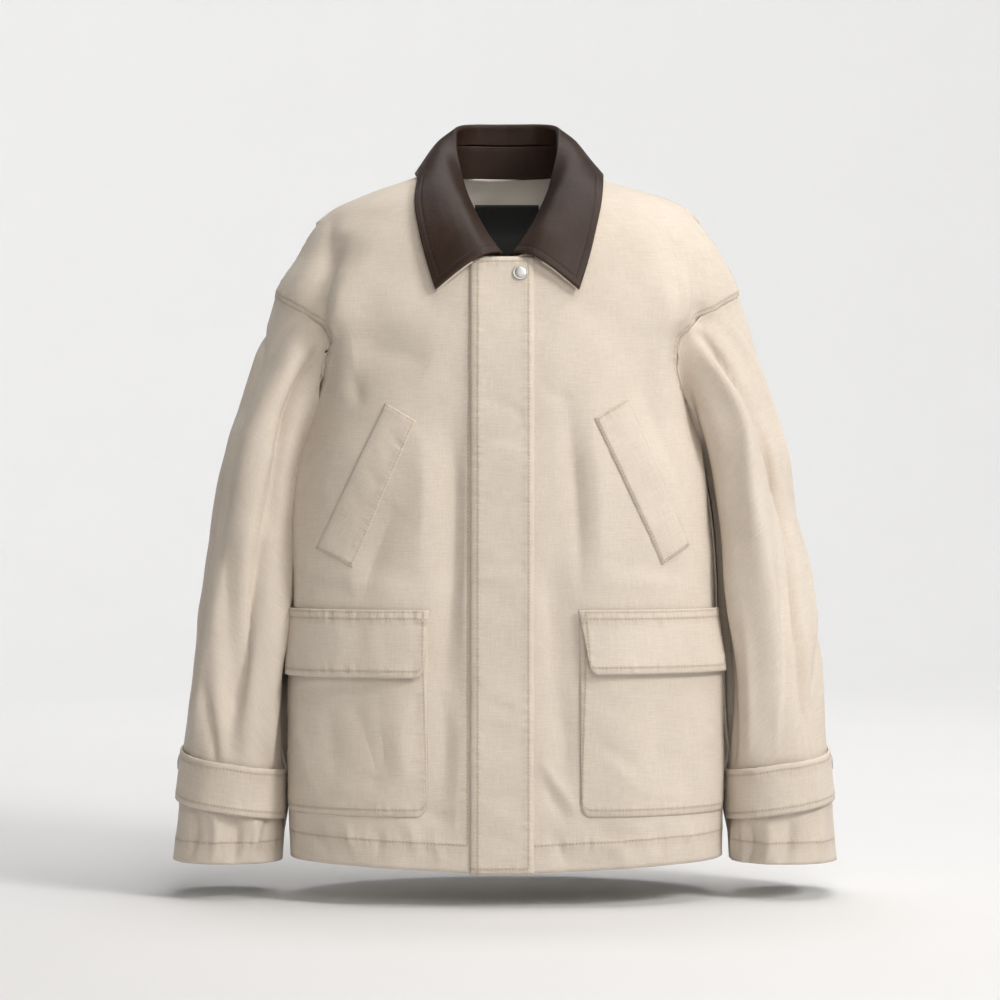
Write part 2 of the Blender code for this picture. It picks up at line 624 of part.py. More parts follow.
def dome(name, centre, normal, finish):
    """A domed cap on a flat back, turned about the normal."""
    normal = np.asarray(normal, float) / np.linalg.norm(normal)
    side = np.cross(normal, [0.0, 0.0, 1.0])
    side /= np.linalg.norm(side)
    up = np.cross(side, normal)
    profile = ((1.0, 0.0), (1.0, 0.45), (0.86, 0.78), (0.5, 0.95))
    turn = np.linspace(0, 2 * np.pi, 16, endpoint=False)[None, :, None]
    radius, height = np.array(profile).T[:, :, None, None] * [[[[SNAP_RADIUS]]], [[[SNAP_HEIGHT]]]]
    rings = centre + radius * (np.cos(turn) * side + np.sin(turn) * up) + height * normal
    tip, foot = centre + SNAP_HEIGHT * normal, np.asarray(centre, float)
    count = turn.shape[1]
    points = np.concatenate([rings.reshape(-1, 3), [tip, foot]])
    ring = np.arange(count)
    after = np.roll(ring, -1)
    faces = []
    for level in range(len(profile) - 1):
        low, high = level * count, (level + 1) * count
        faces += np.stack([low + ring, low + after, high + after], -1).tolist()
        faces += np.stack([low + ring, high + after, high + ring], -1).tolist()
    last = (len(profile) - 1) * count
    faces += np.stack([last + ring, last + after, np.full(count, last + count)], -1).tolist()
    faces += np.stack([after, ring, np.full(count, last + count + 1)], -1).tolist()
    faces = np.array(faces)
    if np.linalg.det(points[faces] - points.mean(0)).sum() < 0:
        faces = faces[:, ::-1]
    return add_object(name, points, faces, finish)


def make_straps(cloth, metal):
    """Straps round the front of each cuff, standing off it, snapped at the outer side."""
    share = np.linspace(0, 1, 17)[None, :]
    up = np.linspace(-0.5, 0.5, 4)[:, None]
    snapped = STRAP_INNER_ANGLE / (STRAP_INNER_ANGLE - STRAP_OUTER_ANGLE)
    for side in (RIGHT, LEFT):
        to_snap = np.clip(share / snapped, 0, 1)
        angle = STRAP_INNER_ANGLE + (STRAP_OUTER_ANGLE - STRAP_INNER_ANGLE) * share
        middle = STRAP_INNER_Z + (STRAP_OUTER_Z - STRAP_INNER_Z) * np.sin(np.pi / 2 * to_snap) ** 2
        stand_off = LAY_GAP + STRAP_STAND_OFF * np.sin(np.pi * to_snap) ** 2
        z = middle + STRAP_HEIGHT * up
        angle, stand_off = angle + 0 * z, stand_off + 0 * z
        base = sleeve_base(side)
        name = SIDE_NAMES[side]
        inner = moved_out(base, angle, z, -side * stand_off)
        outer = moved_out(base, angle, z, -side * (stand_off + FOLDED_WALL))
        wall_between(f"cuff_strap_{name}", outer, inner, cloth)
        level = LAY_GAP + FOLDED_WALL + SEAM_GAP
        spot = np.array([[0.0]]), np.array([[SNAP_Z]])
        centre = moved_out(base, *spot, np.array([[-side * level]]))[0, 0]
        above = moved_out(base, *spot, np.array([[-side * 2 * level]]))[0, 0]
        dome(f"snap_cuff_{name}", centre, above - centre, metal)


def make_neck_snap(metal):
    angle = angle_at(NECK_SNAP_X, NECK_SNAP_Z)
    level = LAY_GAP + FOLDED_WALL + SEAM_GAP
    centre, above = (torso(angle, NECK_SNAP_Z, out) for out in (level, 2 * level))
    dome("snap_neck", centre, above - centre, metal)


def collar_curves(share):
    """Neck seam, fold, leaf edge and spring at shares -1 to 1, from the wearer's right front to
    the left."""
    side = np.sign(share + 1e-12)
    at = along(COLLAR, np.abs(share))
    neck = torso(side * at["neck_angle"], smooth(NECK["angle"], NECK["z"], at["neck_angle"]))
    fold = np.stack([side * at["fold_x"], at["fold_y"], at["fold_z"]], -1)
    edge = np.stack([side * at["edge_x"], at["edge_y"], at["edge_z"]], -1)
    low_enough = np.clip((CLEAR_BELOW_Z - edge[:, 2:]) / CLEAR_BELOW_Z, 0, 1)
    edge += (clear_of_body(edge, LEAF_CLEAR, 0.001) - edge) * low_enough
    return neck, fold, edge, at["spring"][:, None]


def unit(vectors):
    return vectors / np.linalg.norm(vectors, axis=-1, keepdims=True)


def make_collar(leather, cloth):
    """The stand on the neck seam, the leaf that folds over it, and the under collar below the leaf."""
    share = np.linspace(-1, 1, 31)
    neck, fold, edge, spring = collar_curves(share)
    upward = unit(fold - neck)
    outward = unit(np.cross(upward, np.gradient(fold, axis=0)))
    fold_in = fold - outward * FOLD_WIDTH
    rise = fold_in - neck
    height = np.linalg.norm(rise, axis=-1, keepdims=True)
    lies_flat = 1 - np.clip(upward[:, 2:], 0, 1)
    start = neck + rise / height * (STAND_START + STAND_START_FLAT * lies_flat)
    join = start + (fold_in - start) * STAND_SHARE

    level = np.linspace(0, 0.96, 4)[:, None, None]
    stand = start + (join - start) * level
    wall_between("collar_stand", stand + outward * LEATHER_WALL, stand, leather)

    leaf_edge = np.linspace(0.2, 1, 5)[:, None, None]
    fall = fold + (edge - fold) * leaf_edge + outward * spring * np.sin(np.pi * leaf_edge**0.7)
    inside = [join, join + (fold_in - join) * 0.6, fold_in]
    top = fold - outward * FOLD_WIDTH / 2 + upward * FOLD_RISE
    leaf = np.concatenate([np.stack([*inside, top, fold]), fall])
    middle = fold - outward * FOLD_WIDTH / 2 - upward * 0.01
    cloth_wall("collar_leaf", leaf, LEATHER_WALL, leather, middle)

    normal = grid_normals(leaf)
    if (normal * (leaf - middle)).sum() < 0:
        normal = -normal
    under = (leaf - normal * (LEATHER_WALL + LAY_GAP))[len(inside) + 3:]
    for end, beside in ((0, 1), (-1, -2)):
        under[:, end] += UNDER_COLLAR_SHOWS * unit(under[:, end] - under[:, beside])
    cloth_wall("collar_under", under, UNDER_COLLAR_WALL, cloth, under - outward)


def make_label(woven):
    across = np.linspace(-0.5, 0.5, 7)[None, :]
    z = np.linspace(LABEL_TOP_Z, LABEL_LOW_Z, 5)[:, None] + 0 * across
    angle = 180.0 + np.degrees(LABEL_WIDTH * across / torso_size("back", z))
    low = -CLOTH_WALL - LABEL_GAP - LABEL_WALL
    wall_between("neck_label", torso(angle, z, low + LABEL_WALL), torso(angle, z, low), woven)


def build():
    for obj in list(bpy.data.objects):
        bpy.data.objects.remove(obj, do_unlink=True)
    cloth = material("cloth", (0.62, 0.53, 0.43), 0.75)
    leather = material("leather", (0.045, 0.028, 0.022), 0.45)
    woven = material("label", (0.012, 0.014, 0.016), 0.7)
    metal = material("snap", (0.62, 0.61, 0.59), 0.38, 0.9)
    make_fronts(cloth)
    make_back(cloth)
    make_cape(cloth)
    make_sleeves(cloth)
    make_placket(cloth)
    make_welts(cloth)
    make_pockets(cloth)
    make_straps(cloth, metal)
    make_neck_snap(metal)
    make_collar(leather, cloth)
    make_label(woven)


build()
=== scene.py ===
"""A hip-length waxed cotton jacket with a leather collar, filled out and hollow.

+Z is up and the front faces -Y. "right" and "left" are the wearer's, so right is at -X. Lengths are
metres and angles degrees unless a name or comment says otherwise.
"""

import bpy
import numpy as np
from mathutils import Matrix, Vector


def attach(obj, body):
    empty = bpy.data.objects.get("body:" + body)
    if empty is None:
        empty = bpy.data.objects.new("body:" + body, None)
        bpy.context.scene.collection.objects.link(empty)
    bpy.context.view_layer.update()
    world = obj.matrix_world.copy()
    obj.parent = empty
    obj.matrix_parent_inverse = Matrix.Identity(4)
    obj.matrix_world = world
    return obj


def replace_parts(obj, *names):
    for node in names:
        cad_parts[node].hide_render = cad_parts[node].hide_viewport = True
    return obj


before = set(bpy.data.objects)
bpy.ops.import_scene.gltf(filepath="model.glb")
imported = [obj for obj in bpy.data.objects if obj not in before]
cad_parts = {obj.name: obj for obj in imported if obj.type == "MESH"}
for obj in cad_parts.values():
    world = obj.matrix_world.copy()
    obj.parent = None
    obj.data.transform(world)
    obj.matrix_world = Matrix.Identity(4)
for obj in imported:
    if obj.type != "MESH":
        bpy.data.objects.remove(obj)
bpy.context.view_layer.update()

# Fronts: two panels of 1.6 mm dry waxed cotton, cut from neck to hem. They are sewn to the back at
# the shoulders and sides and to the sleeves at the armholes, with two rows round each armhole. The
# wearer's right front laps over the left one. The body's form is one surface of angle and height.
RIGHT, LEFT = -1, 1
SIDE_NAMES = {RIGHT: "right", LEFT: "left"}
EDGES = "left", "right", "top", "low"
CLOTH_WALL = 0.0016
SEAM_GAP = 0.0002
HEM_SIDE_Z = -0.679
HEM_FRONT_DROP = 0.008
FINER = 9
TOP_CROWDING = 1.12
ANGLE_FADE, Z_FADE = 16, 5
POINT_STEP = 0.0035
MARKED_PAST_END = 0.02
CORNER_BLEND = 0.004
GRAIN_RADIUS = 0.19
PLACKET_SEAM_X = -0.0355
UNDER_PLACKET, UNDERLAP = 0.0045, 0.007


def numbers(text, across=8):
    """The numbers of a table, row by row."""
    return np.array(text.split(), float).reshape(-1, across)


def columns(names, text):
    """The columns of a table by name."""
    names = names.split()
    return dict(zip(names, numbers(text, len(names)).T))


# The body's horizontal sections: half widths on each side, the depth from mid_y to the front and to
# the back, and how square each half is (2 is an ellipse). Above the shoulder tip the half widths
# follow the shoulder line.
TORSO = columns("z right left mid_y front back front_square back_square", """
    0.006 0.062 0.062 0.004 0.026 0.066 2 2
    0 0.073 0.072 0.004 0.036 0.074 2 2
    -0.012 0.105 0.101 0.004 0.052 0.086 2 2
    -0.022 0.134 0.136 0.003 0.066 0.093 2 2
    -0.031 0.155 0.162 0.002 0.076 0.098 2 2
    -0.04 0.172 0.1785 0.001 0.084 0.103 2 2
    -0.052 0.1855 0.1895 0 0.092 0.108 2 2
    -0.064 0.195 0.1985 -0.002 0.098 0.112 2 2
    -0.088 0.2095 0.2145 -0.004 0.106 0.118 2 2
    -0.128 0.231 0.231 -0.008 0.112 0.126 2.1 2
    -0.152 0.218 0.214 -0.012 0.114 0.132 2.2 2.1
    -0.175 0.194 0.186 -0.016 0.115 0.138 2.3 2.1
    -0.205 0.189 0.175 -0.02 0.114 0.143 2.4 2.1
    -0.25 0.196 0.181 -0.024 0.113 0.147 2.5 2.1
    -0.31 0.206 0.194 -0.028 0.112 0.15 2.6 2.1
    -0.38 0.213 0.202 -0.03 0.11 0.151 2.6 2.1
    -0.44 0.214 0.205 -0.03 0.11 0.151 2.6 2.1
    -0.5 0.215 0.212 -0.03 0.11 0.151 2.6 2.1
    -0.6 0.216 0.213 -0.03 0.11 0.151 2.6 2.1
    -0.7 0.214 0.212 -0.03 0.11 0.151 2.6 2.1
""")
# The body's largest folds: top angle and z, low angle and z, width, and depth, negative for a trough.
# Angles are from the centre front towards the wearer's left.
TORSO_FOLDS = numbers("""
    -57 -0.06 -66 -0.24 0.014 0.006
    -70 -0.07 -72 -0.19 0.01 -0.008
    57 -0.06 66 -0.25 0.013 0.006
    70 -0.07 72 -0.19 0.01 -0.007
    -24 -0.14 -30 -0.66 0.022 -0.004
    24 -0.2 27 -0.64 0.02 -0.005
    -47 -0.42 -50 -0.72 0.024 0.004
    48 -0.44 50 -0.72 0.024 0.004
    -128 -0.16 -140 -0.7 0.026 -0.006
    130 -0.18 142 -0.7 0.026 -0.006
    -165 -0.3 -170 -0.72 0.03 0.005
    168 -0.34 160 -0.72 0.028 0.005
""", 6)
# The armhole seam, from the shoulder tip over the front to the underarm and on over the back, and the
# neck seam, both by angle from the centre front
ARMHOLE = columns("angle z", """
    90 -0.128  84 -0.134  78 -0.143  74 -0.158  73 -0.18
    75 -0.206  81 -0.238  90 -0.262  99 -0.24  106 -0.21
    109 -0.183  107 -0.16  100 -0.142  90 -0.128
""")
NECK = columns("angle z", """
    0 -0.0985  15 -0.087  30 -0.063  47 -0.0355
    66 -0.012  90 0  135 0  180 0
""")
SHOULDER_TIP_Z, UNDERARM_Z = ARMHOLE["z"].max(), ARMHOLE["z"].min()


def smooth(knots, values, where):
    """Monotone cubic curve through the values: slopes are weighted harmonic means of the chords'."""
    order = np.argsort(knots)
    knots, values = knots[order], values[order]
    step, rise = np.diff(knots), np.diff(values)
    chord = rise / step
    slope = np.zeros(len(knots))
    same = chord[:-1] * chord[1:] > 0
    before, after = 2 * step[1:] + step[:-1], step[1:] + 2 * step[:-1]
    safe = np.where(same, chord[:-1], 1.0), np.where(same, chord[1:], 1.0)
    slope[1:-1] = np.where(same, (before + after) / (before / safe[0] + after / safe[1]), 0.0)
    slope[0], slope[-1] = chord[0], chord[-1]
    where = np.clip(where, knots[0], knots[-1])
    cell = np.clip(np.searchsorted(knots, where, side="right") - 1, 0, len(step) - 1)
    t = (where - knots[cell]) / step[cell]
    return (
        values[cell] * (1 + 2 * t) * (1 - t) ** 2
        + values[cell + 1] * t**2 * (3 - 2 * t)
        + step[cell] * (slope[cell] * t * (1 - t) ** 2 - slope[cell + 1] * t**2 * (1 - t))
    )


def along(table, share):
    """Smooth points at shares 0 to 1 of a table's length, counted by its rows: one array a column."""
    knots = np.linspace(0, 1, len(next(iter(table.values()))))
    return {name: smooth(knots, values, share) for name, values in table.items()}


def torso_size(name, z):
    """One column of the body's table of sections, smooth in height."""
    return smooth(TORSO["z"], TORSO[name], z)


def half_width(side, z):
    """From the middle plane to that side's outermost point, at height z."""
    return torso_size(SIDE_NAMES[side], z)


def fold_height(folds, angle, z, radius):
    """Sum of the soft ridges: a bell across each fold, faded in and out along it."""
    height = np.zeros(np.broadcast(angle, z).shape)
    for top_angle, top_z, low_angle, low_z, width, depth in folds:
        share = (top_z - z) / (top_z - low_z)
        middle = top_angle + (low_angle - top_angle) * share
        across = np.radians(angle - middle) * radius / width
        height += depth * np.exp(-(across**2)) * np.sin(np.pi * np.clip(share, 0, 1)) ** 0.7
    return height


def torso_base(angle, z):
    """Points of the body's outer face: superellipse sections by height, with the large folds."""
    angle, z = np.broadcast_arrays(np.asarray(angle, float), np.asarray(z, float))
    angle = (angle + 180.0) % 360.0 - 180.0
    turn = np.radians(angle)
    half = np.where(angle < 0, half_width(RIGHT, z), half_width(LEFT, z))
    front = np.abs(angle) < 90
    depth = np.where(front, torso_size("front", z), torso_size("back", z))
    square = np.where(front, torso_size("front_square", z), torso_size("back_square", z))
    terms = (np.abs(np.cos(turn)) / depth) ** square + (np.abs(np.sin(turn)) / half) ** square
    radius = terms ** (-1 / square) + fold_height(TORSO_FOLDS, angle, z, radius=0.15)
    return np.stack([radius * np.sin(turn), torso_size("mid_y", z) - radius * np.cos(turn), z], -1)


def moved_out(surface, angle, z, out):
    """Points of a surface of angle and height, moved out along its normal."""
    turn, rise = 0.2, 0.0005
    around = surface(angle + turn, z) - surface(angle - turn, z)
    up = surface(angle, z + rise) - surface(angle, z - rise)
    normal = np.cross(around, up)
    normal /= np.linalg.norm(normal, axis=-1, keepdims=True)
    return surface(angle, z) + normal * np.asarray(out)[..., None]


def torso(angle, z, out=0.0):
    """The body's outer face at an angle and a height, moved out along its normal."""
    angle, z, out = np.broadcast_arrays(angle, z, out)
    return moved_out(torso_base, angle.astype(float), z.astype(float), out)


def angle_at(x, z, half="front"):
    """The angle of the body's front or back half at x in the front view."""
    x, z = np.broadcast_arrays(np.asarray(x, float), np.asarray(z, float))
    wide = np.where(x < 0, half_width(RIGHT, z), half_width(LEFT, z))
    square = torso_size(f"{half}_square", z)
    depth = torso_size(half, z) * (1 - np.clip(np.abs(x) / wide, 0, 1) ** square) ** (1 / square)
    return np.degrees(np.arctan2(x, depth if half == "front" else -depth))


def hem_z(angle):
    """The hem is level at the sides and back and drops a little at the front."""
    return HEM_SIDE_Z - HEM_FRONT_DROP * np.clip(np.cos(np.radians(angle)), 0, 1) ** 2


def shoulder_line(side, count):
    """Heights of points along the shoulder seam, evenly from the neck to the tip."""
    z_fine = np.linspace(0.0, SHOULDER_TIP_Z, 400)
    run = np.hypot(np.gradient(half_width(side, z_fine)), np.gradient(z_fine))
    length = np.append(0, np.cumsum((run[1:] + run[:-1]) / 2))
    return np.interp(np.linspace(0, length[-1], count + 1)[1:], length, z_fine)


def coons_rows(top, outer, low, down):
    """Angles and heights of a panel's rows, each a pair of arrays (angle, z).

    A Coons patch between the top edge, the lower edge and the two side edges, in which the top
    edge's form fades out quickly going down. down holds each row's share of the way.
    """
    inner_angle, inner_z = top[0][0], top[1][0] + (low[1][0] - top[1][0]) * down
    across = (low[0] - low[0][0]) / (low[0][-1] - low[0][0])
    lerp_angle = inner_angle * (1 - across) + outer[0][:, None] * across
    lerp_z = inner_z[:, None] * (1 - across) + outer[1][:, None] * across
    fade_angle = ((1 - down) ** ANGLE_FADE)[:, None]
    fade_z = ((1 - down) ** Z_FADE)[:, None]
    angle = lerp_angle + (top[0] - lerp_angle[0]) * fade_angle
    z = lerp_z + (top[1] - lerp_z[0]) * fade_z + (low[1] - lerp_z[-1]) * (1 - fade_z)
    return angle, z


def panel_rows(side, inner, neck_columns, shoulder_columns, front):
    """A front or half the back: below the neck seam and shoulder line, from its inner edge to the
    armhole and side seam."""
    down = np.linspace(0, 1, 19 * FINER + 1) ** TOP_CROWDING
    arm_angle, arm_z = along(ARMHOLE, np.linspace(0 if front else 1, 0.5, 8 * FINER + 1)).values()
    seam_z = np.linspace(UNDERARM_Z, hem_z(90.0), 11 * FINER + 1)[1:]
    outer = np.append(arm_angle, 90.0 + 0 * seam_z), np.append(arm_z, seam_z)
    neck_angle, tip_z = np.linspace(inner, 90.0, neck_columns + 1), shoulder_line(side, shoulder_columns)
    neck_z = smooth(NECK["angle"], NECK["z"], neck_angle)
    top = np.append(neck_angle, 90.0 + 0 * tip_z), np.append(neck_z, tip_z)
    low_angle = np.linspace(inner, 90.0, len(top[0]))
    angle, z = coons_rows(top, outer, (low_angle, hem_z(low_angle)), down)
    return side * angle, z


def unit(vectors):
    """Each vector over its own length."""
    return vectors / np.linalg.norm(vectors, axis=-1, keepdims=True)


def grid_normals(points, core):
    """Unit normals of a grid of points, pointing away from the core."""
    normal = unit(np.cross(np.gradient(points, axis=1), np.gradient(points, axis=0)))
    return normal if (normal * (points - core)).sum() > 0 else -normal


def edge_view(grid, edge):
    """The grid turned so that the named edge is its first column."""
    view = grid.swapaxes(0, 1) if edge in ("top", "low") else grid
    return view[:, ::-1] if edge in ("right", "low") else view


def from_edge(points, edge):
    """Each point's distance from one edge, added up along its row or column of the grid."""
    view = edge_view(points, edge)
    steps = np.linalg.norm(np.diff(view, axis=1), axis=-1)
    total = np.concatenate([np.zeros((len(view), 1)), np.cumsum(steps, axis=1)], axis=1)
    turned = total[:, ::-1] if edge in ("right", "low") else total
    return turned.swapaxes(0, 1) if edge in ("top", "low") else turned


def nearest_edge(points, edges=EDGES):
    """How far each point is from the nearest of those edges, along the cloth."""
    return np.minimum.reduce([from_edge(points, edge) for edge in edges])


def row_distance(points, row):
    """Signed distance to one sewn row, a list of (edge, inset, from, to): the row runs inset from
    each edge, between two shares of the edge's length, and positive is its inner side. Past its ends the
    distance grows, with the edge's points taken as POINT_STEP apart."""
    nearest = np.full(points.shape[:2], 0.5)
    for edge, inset, first, last in row:
        away, view = from_edge(points, edge) - inset, edge_view(points, edge)
        share = np.linspace(0, 1, len(view))
        beyond = (np.clip(first - share, 0, 1) + np.clip(share - last, 0, 1)) * len(view) * POINT_STEP
        beyond = beyond[:, None] + np.zeros(view.shape[:2])
        beyond = beyond.swapaxes(0, 1) if edge in ("top", "low") else beyond
        outside = (away < 0) & (beyond < MARKED_PAST_END)
        nearest = np.minimum(nearest, np.hypot(away, beyond) * np.where(outside, -1, 1))
    return nearest


def beside_ends(points):
    """1 along the left and right edges, 0 along the top and low ones, blended at the corners."""
    gap = nearest_edge(points, ("top", "low")) - nearest_edge(points, ("left", "right"))
    return np.clip(gap / CORNER_BLEND + 0.5, 0, 1)


def bell(distance, width):
    """exp(-(distance / width)^2)"""
    return np.exp(-((distance / width) ** 2))


def crease_relief(points, creases, spot):
    """Height of the creases. Each row of the table is three places (x, z) in the front or
    back view, then width and depth, in millimetres. The crease runs along the parabola through the
    three places, laid on the surface by spot(x, z). Across, it falls as exp(-(d / width)^1.5), and
    along, it fades in and out. A negative depth is a trough."""
    relief = np.zeros(points.shape[:-1])
    t = np.linspace(0, 1, 11)[:, None]
    weights = np.concatenate([(1 - t) * (1 - 2 * t), 4 * t * (1 - t), t * (2 * t - 1)], axis=1)
    for crease in creases:
        *places, width, depth = crease / 1000
        x, z = (weights @ np.reshape(places, (3, 2))).T
        line = spot(x, z)
        nearest, share = np.full(relief.shape, 9.0), np.zeros(relief.shape)
        for k, step in enumerate(np.diff(line, axis=0)):
            part = np.clip((points - line[k]) @ step / (step @ step + 1e-12), 0, 1)
            gap = np.linalg.norm(points - line[k] - part[..., None] * step, axis=-1)
            share = np.where(gap < nearest, (k + part) / 10, share)
            nearest = np.minimum(gap, nearest)
        across = np.exp(-((nearest / width) ** 1.5))
        relief += depth * across * np.sin(np.pi * np.clip(share, 0, 1)) ** 0.8
    return relief


def slack(points, seed, depth):
    """Broad unevenness of loose cloth: the sum of 14 plane waves, 40 to 130 mm long."""
    chance = np.random.default_rng(seed)
    way = unit(chance.normal(size=(14, 3))) / chance.uniform(0.04, 0.13, (14, 1))
    phase = chance.uniform(0, 2 * np.pi, 14)
    return depth * np.sin(2 * np.pi * points @ way.T + phase).mean(-1) * 2


def ripple(run, seed):
    """Uneven puckers along a seam: three waves of 9 to 23 mm, swelling and fading every 0.1 m."""
    chance = np.random.default_rng(seed)
    waves = [np.sin(2 * np.pi * run / length + chance.uniform(0, 6)) for length in (0.0093, 0.0137, 0.0229)]
    return sum(waves) / 3 * (0.6 + 0.4 * np.sin(2 * np.pi * run / 0.097 + chance.uniform(0, 6)))


def puckers(points, seed):
    """The ripple along each pair of edges, so that its crests lie across the seams."""
    beside = beside_ends(points)
    down_sides, along_ends = (ripple(from_edge(points, edge), seed) for edge in ("top", "left"))
    return down_sides * beside + along_ends * (1 - beside)


class Shade:
    """One value in a material's node tree. Arithmetic on it adds Math nodes."""

    def __init__(self, tree, out=None):
        self.tree, self.out = tree, out

    def node(self, kind, settings, inputs, outlet=0):
        """A node of that kind: its settings first, then its sockets, each a number or a Shade."""
        made = self.tree.nodes.new(kind)
        for name, value in settings.items():
            setattr(made, name, value)
        for name, value in inputs.items():
            if isinstance(value, Shade):
                self.tree.links.new(value.out, made.inputs[name])
            else:
                made.inputs[name].default_value = value
        return Shade(self.tree, made.outputs[outlet])

    def place(self):
        """The place in the shared frame, in metres."""
        return self.node("ShaderNodeTexCoord", {}, {}, "Object")

    def known(self, name):
        """A value that each point of the piece knows."""
        return self.node("ShaderNodeAttribute", {"attribute_name": name}, {}, "Fac")

    def cut(self):
        """The place on the cut piece, and how far that is across and down."""
        cut = self.node("ShaderNodeUVMap", {"uv_map": "cut"}, {})
        return cut, *(self.node("ShaderNodeSeparateXYZ", {}, {"Vector": cut}, axis) for axis in (0, 1))

    def math(self, operation, *values):
        """One Math node of that operation on the values, in order."""
        return self.node("ShaderNodeMath", {"operation": operation}, dict(enumerate(values)))

    def __add__(self, other):
        return self.math("ADD", self, other)

    def __sub__(self, other):
        return self.math("SUBTRACT", self, other)

    def __rsub__(self, other):
        return self.math("SUBTRACT", other, self)

    def __mul__(self, other):
        return self.math("MULTIPLY", self, other)

    __radd__, __rmul__ = __add__, __mul__

    def sine(self):
        """sin(value), in radians"""
        return self.math("SINE", self)

    def bell(self, width):
        """exp(-(value / width)^2)"""
        ratio = self * (1 / width)
        return self.math("EXPONENT", ratio * ratio * -1)

    def clip(self):
        """The value held between 0 and 1."""
        return self.node("ShaderNodeClamp", {}, {"Value": self})

    def noise(self, scale, detail=2.0, rough=0.5):
        """Noise from 0 to 1 of a vector, scale to the metre."""
        inputs = {"Vector": self, "Scale": scale, "Detail": detail, "Roughness": rough}
        return self.node("ShaderNodeTexNoise", {}, inputs)

    def stretched(self, x, y, z):
        """A vector with each of its axes scaled."""
        return self.node("ShaderNodeMapping", {}, {"Vector": self, "Scale": (x, y, z)})

    def mix(self, dark, light):
        """A colour between two, each a colour or a Shade, with this value as the factor."""
        inputs = {"Factor": self, 6: dark, 7: light}
        return self.node("ShaderNodeMix", {"data_type": "RGBA"}, inputs, 2)


def finish(name, slot_colour, build, constants):
    """A material: build(start) returns base colour, roughness and bump height in metres."""
    made = bpy.data.materials.new(name)
    made.use_nodes = True
    made.diffuse_color = (*slot_colour, 1.0)
    shader = made.node_tree.nodes["Principled BSDF"]
    for socket, value in constants.items():
        shader.inputs[socket].default_value = value
    colour, roughness, height = build(Shade(made.node_tree))
    bump = height.node("ShaderNodeBump", {}, {"Height": height, "Distance": 1.0, "Strength": 1.0})
    for socket, value in (("Base Color", colour), ("Roughness", roughness), ("Normal", bump)):
        made.node_tree.links.new(value.out, shader.inputs[socket])
    return made


CLOTH_DARK, CLOTH_LIGHT = (0.53, 0.455, 0.375, 1), (0.73, 0.655, 0.565, 1)
# The first colour here is painted shade for the sewn rows' dents and puckers, the second rubbed wear, and the
# third the paler inner side.
CLOTH_PAINTED_SHADE, CLOTH_WORN, CLOTH_INSIDE = (0.36, 0.285, 0.21, 1), (0.79, 0.72, 0.62, 1), (0.90, 0.86, 0.79, 1)


def waxed_cotton(start):
    """Plain weave of 0.9 mm threads with slubs, mottled by the wax. Along each sewn row the cloth
    dips and puckers, with painted shade in the dip and on the puckers. Folded edges are rubbed
    paler, and the inner side is a paler cream."""
    cut, across, down = start.cut()
    place = start.place()
    row, second, edge, beside, inside = map(start.known, ("row_0", "row_1", "edge", "beside", "inside"))
    thread = 2 * np.pi / 0.0009
    weave = (across * thread).sine() * (down * thread).sine()
    warp = cut.stretched(820, 50, 1).noise(1.0, 3.0, 0.65)
    weft = cut.stretched(45, 900, 1).noise(1.0, 3.0, 0.65)
    wax = place.noise(8.0, 3.0, 0.55)
    rub = place.noise(60.0, 2.0, 0.6)
    fine = place.noise(700.0, 2.0, 0.6)
    dent = (row.bell(0.0010) + second.bell(0.0010)).clip()
    near = row.bell(0.0055) + second.bell(0.0045)
    crests = [
        row.node("ShaderNodeCombineXYZ", {}, {"X": run * 150, "Y": row * 40}).noise(1.0, 1.0, 0.6)
        for run in (across, down)
    ]
    pucker = (crests[0] * (1 - beside) + crests[1] * beside) * near
    worn = edge.bell(0.0016) * (0.3 + 0.7 * rub)
    tone = 0.5 + (wax - 0.5) * 0.7 + (warp - 0.5) * 0.6 + (weft - 0.5) * 0.8 + (rub - 0.5) * 0.2
    tone = (tone + (fine - 0.5) * 0.5).clip()
    colour = tone.mix(CLOTH_DARK, CLOTH_LIGHT)
    # Painted shade: the cloth is darkened in each sewn row's dent and on its puckers.
    colour = (dent * 0.55 + pucker * 0.16).clip().mix(colour, CLOTH_PAINTED_SHADE)
    colour = (worn * 0.3).clip().mix(colour, CLOTH_WORN)
    # The inner side is mixed most of the way towards a pale cream.
    colour = (inside * 0.8).mix(colour, CLOTH_INSIDE)
    rough = 0.72 + wax * 0.14
    height = weave * 0.00003 + warp * 0.00010 + weft * 0.00014 + fine * 0.00008 + rub * 0.0003
    return colour, rough, height + pucker * 0.0015 - dent * 0.0004


COTTON = finish(
    "waxed_cotton", (0.62, 0.53, 0.43), waxed_cotton,
    {"Specular IOR Level": 0.25, "Sheen Weight": 0.12, "Sheen Roughness": 0.45},
)


def mesh_piece(name, points, faces, material, slot=None):
    """A smooth object from points and faces, which rides on the jacket if it has a slot."""
    mesh = bpy.data.meshes.new(name)
    mesh.from_pydata(points.reshape(-1, 3).tolist(), [], faces)
    mesh.shade_smooth()
    mesh.materials.append(material)
    obj = bpy.data.objects.new(name, mesh)
    bpy.context.scene.collection.objects.link(obj)
    if slot:
        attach(obj, "root")
    return obj


def wall_faces(rows, across):
    """Quads of a closed wall: an outer grid, the same inner grid after it, and the rim between."""
    index = np.arange(rows * across).reshape(rows, across)
    face = np.stack([index[:-1, :-1], index[:-1, 1:], index[1:, 1:], index[1:, :-1]], -1).reshape(-1, 4)
    rim = np.concatenate([index[0, :], index[1:, -1], index[-1, -2::-1], index[-2:0:-1, 0]])
    after, under = np.roll(rim, -1), rows * across
    return np.concatenate([face, face[:, ::-1] + under, np.stack([rim, rim + under, after + under, after], -1)])


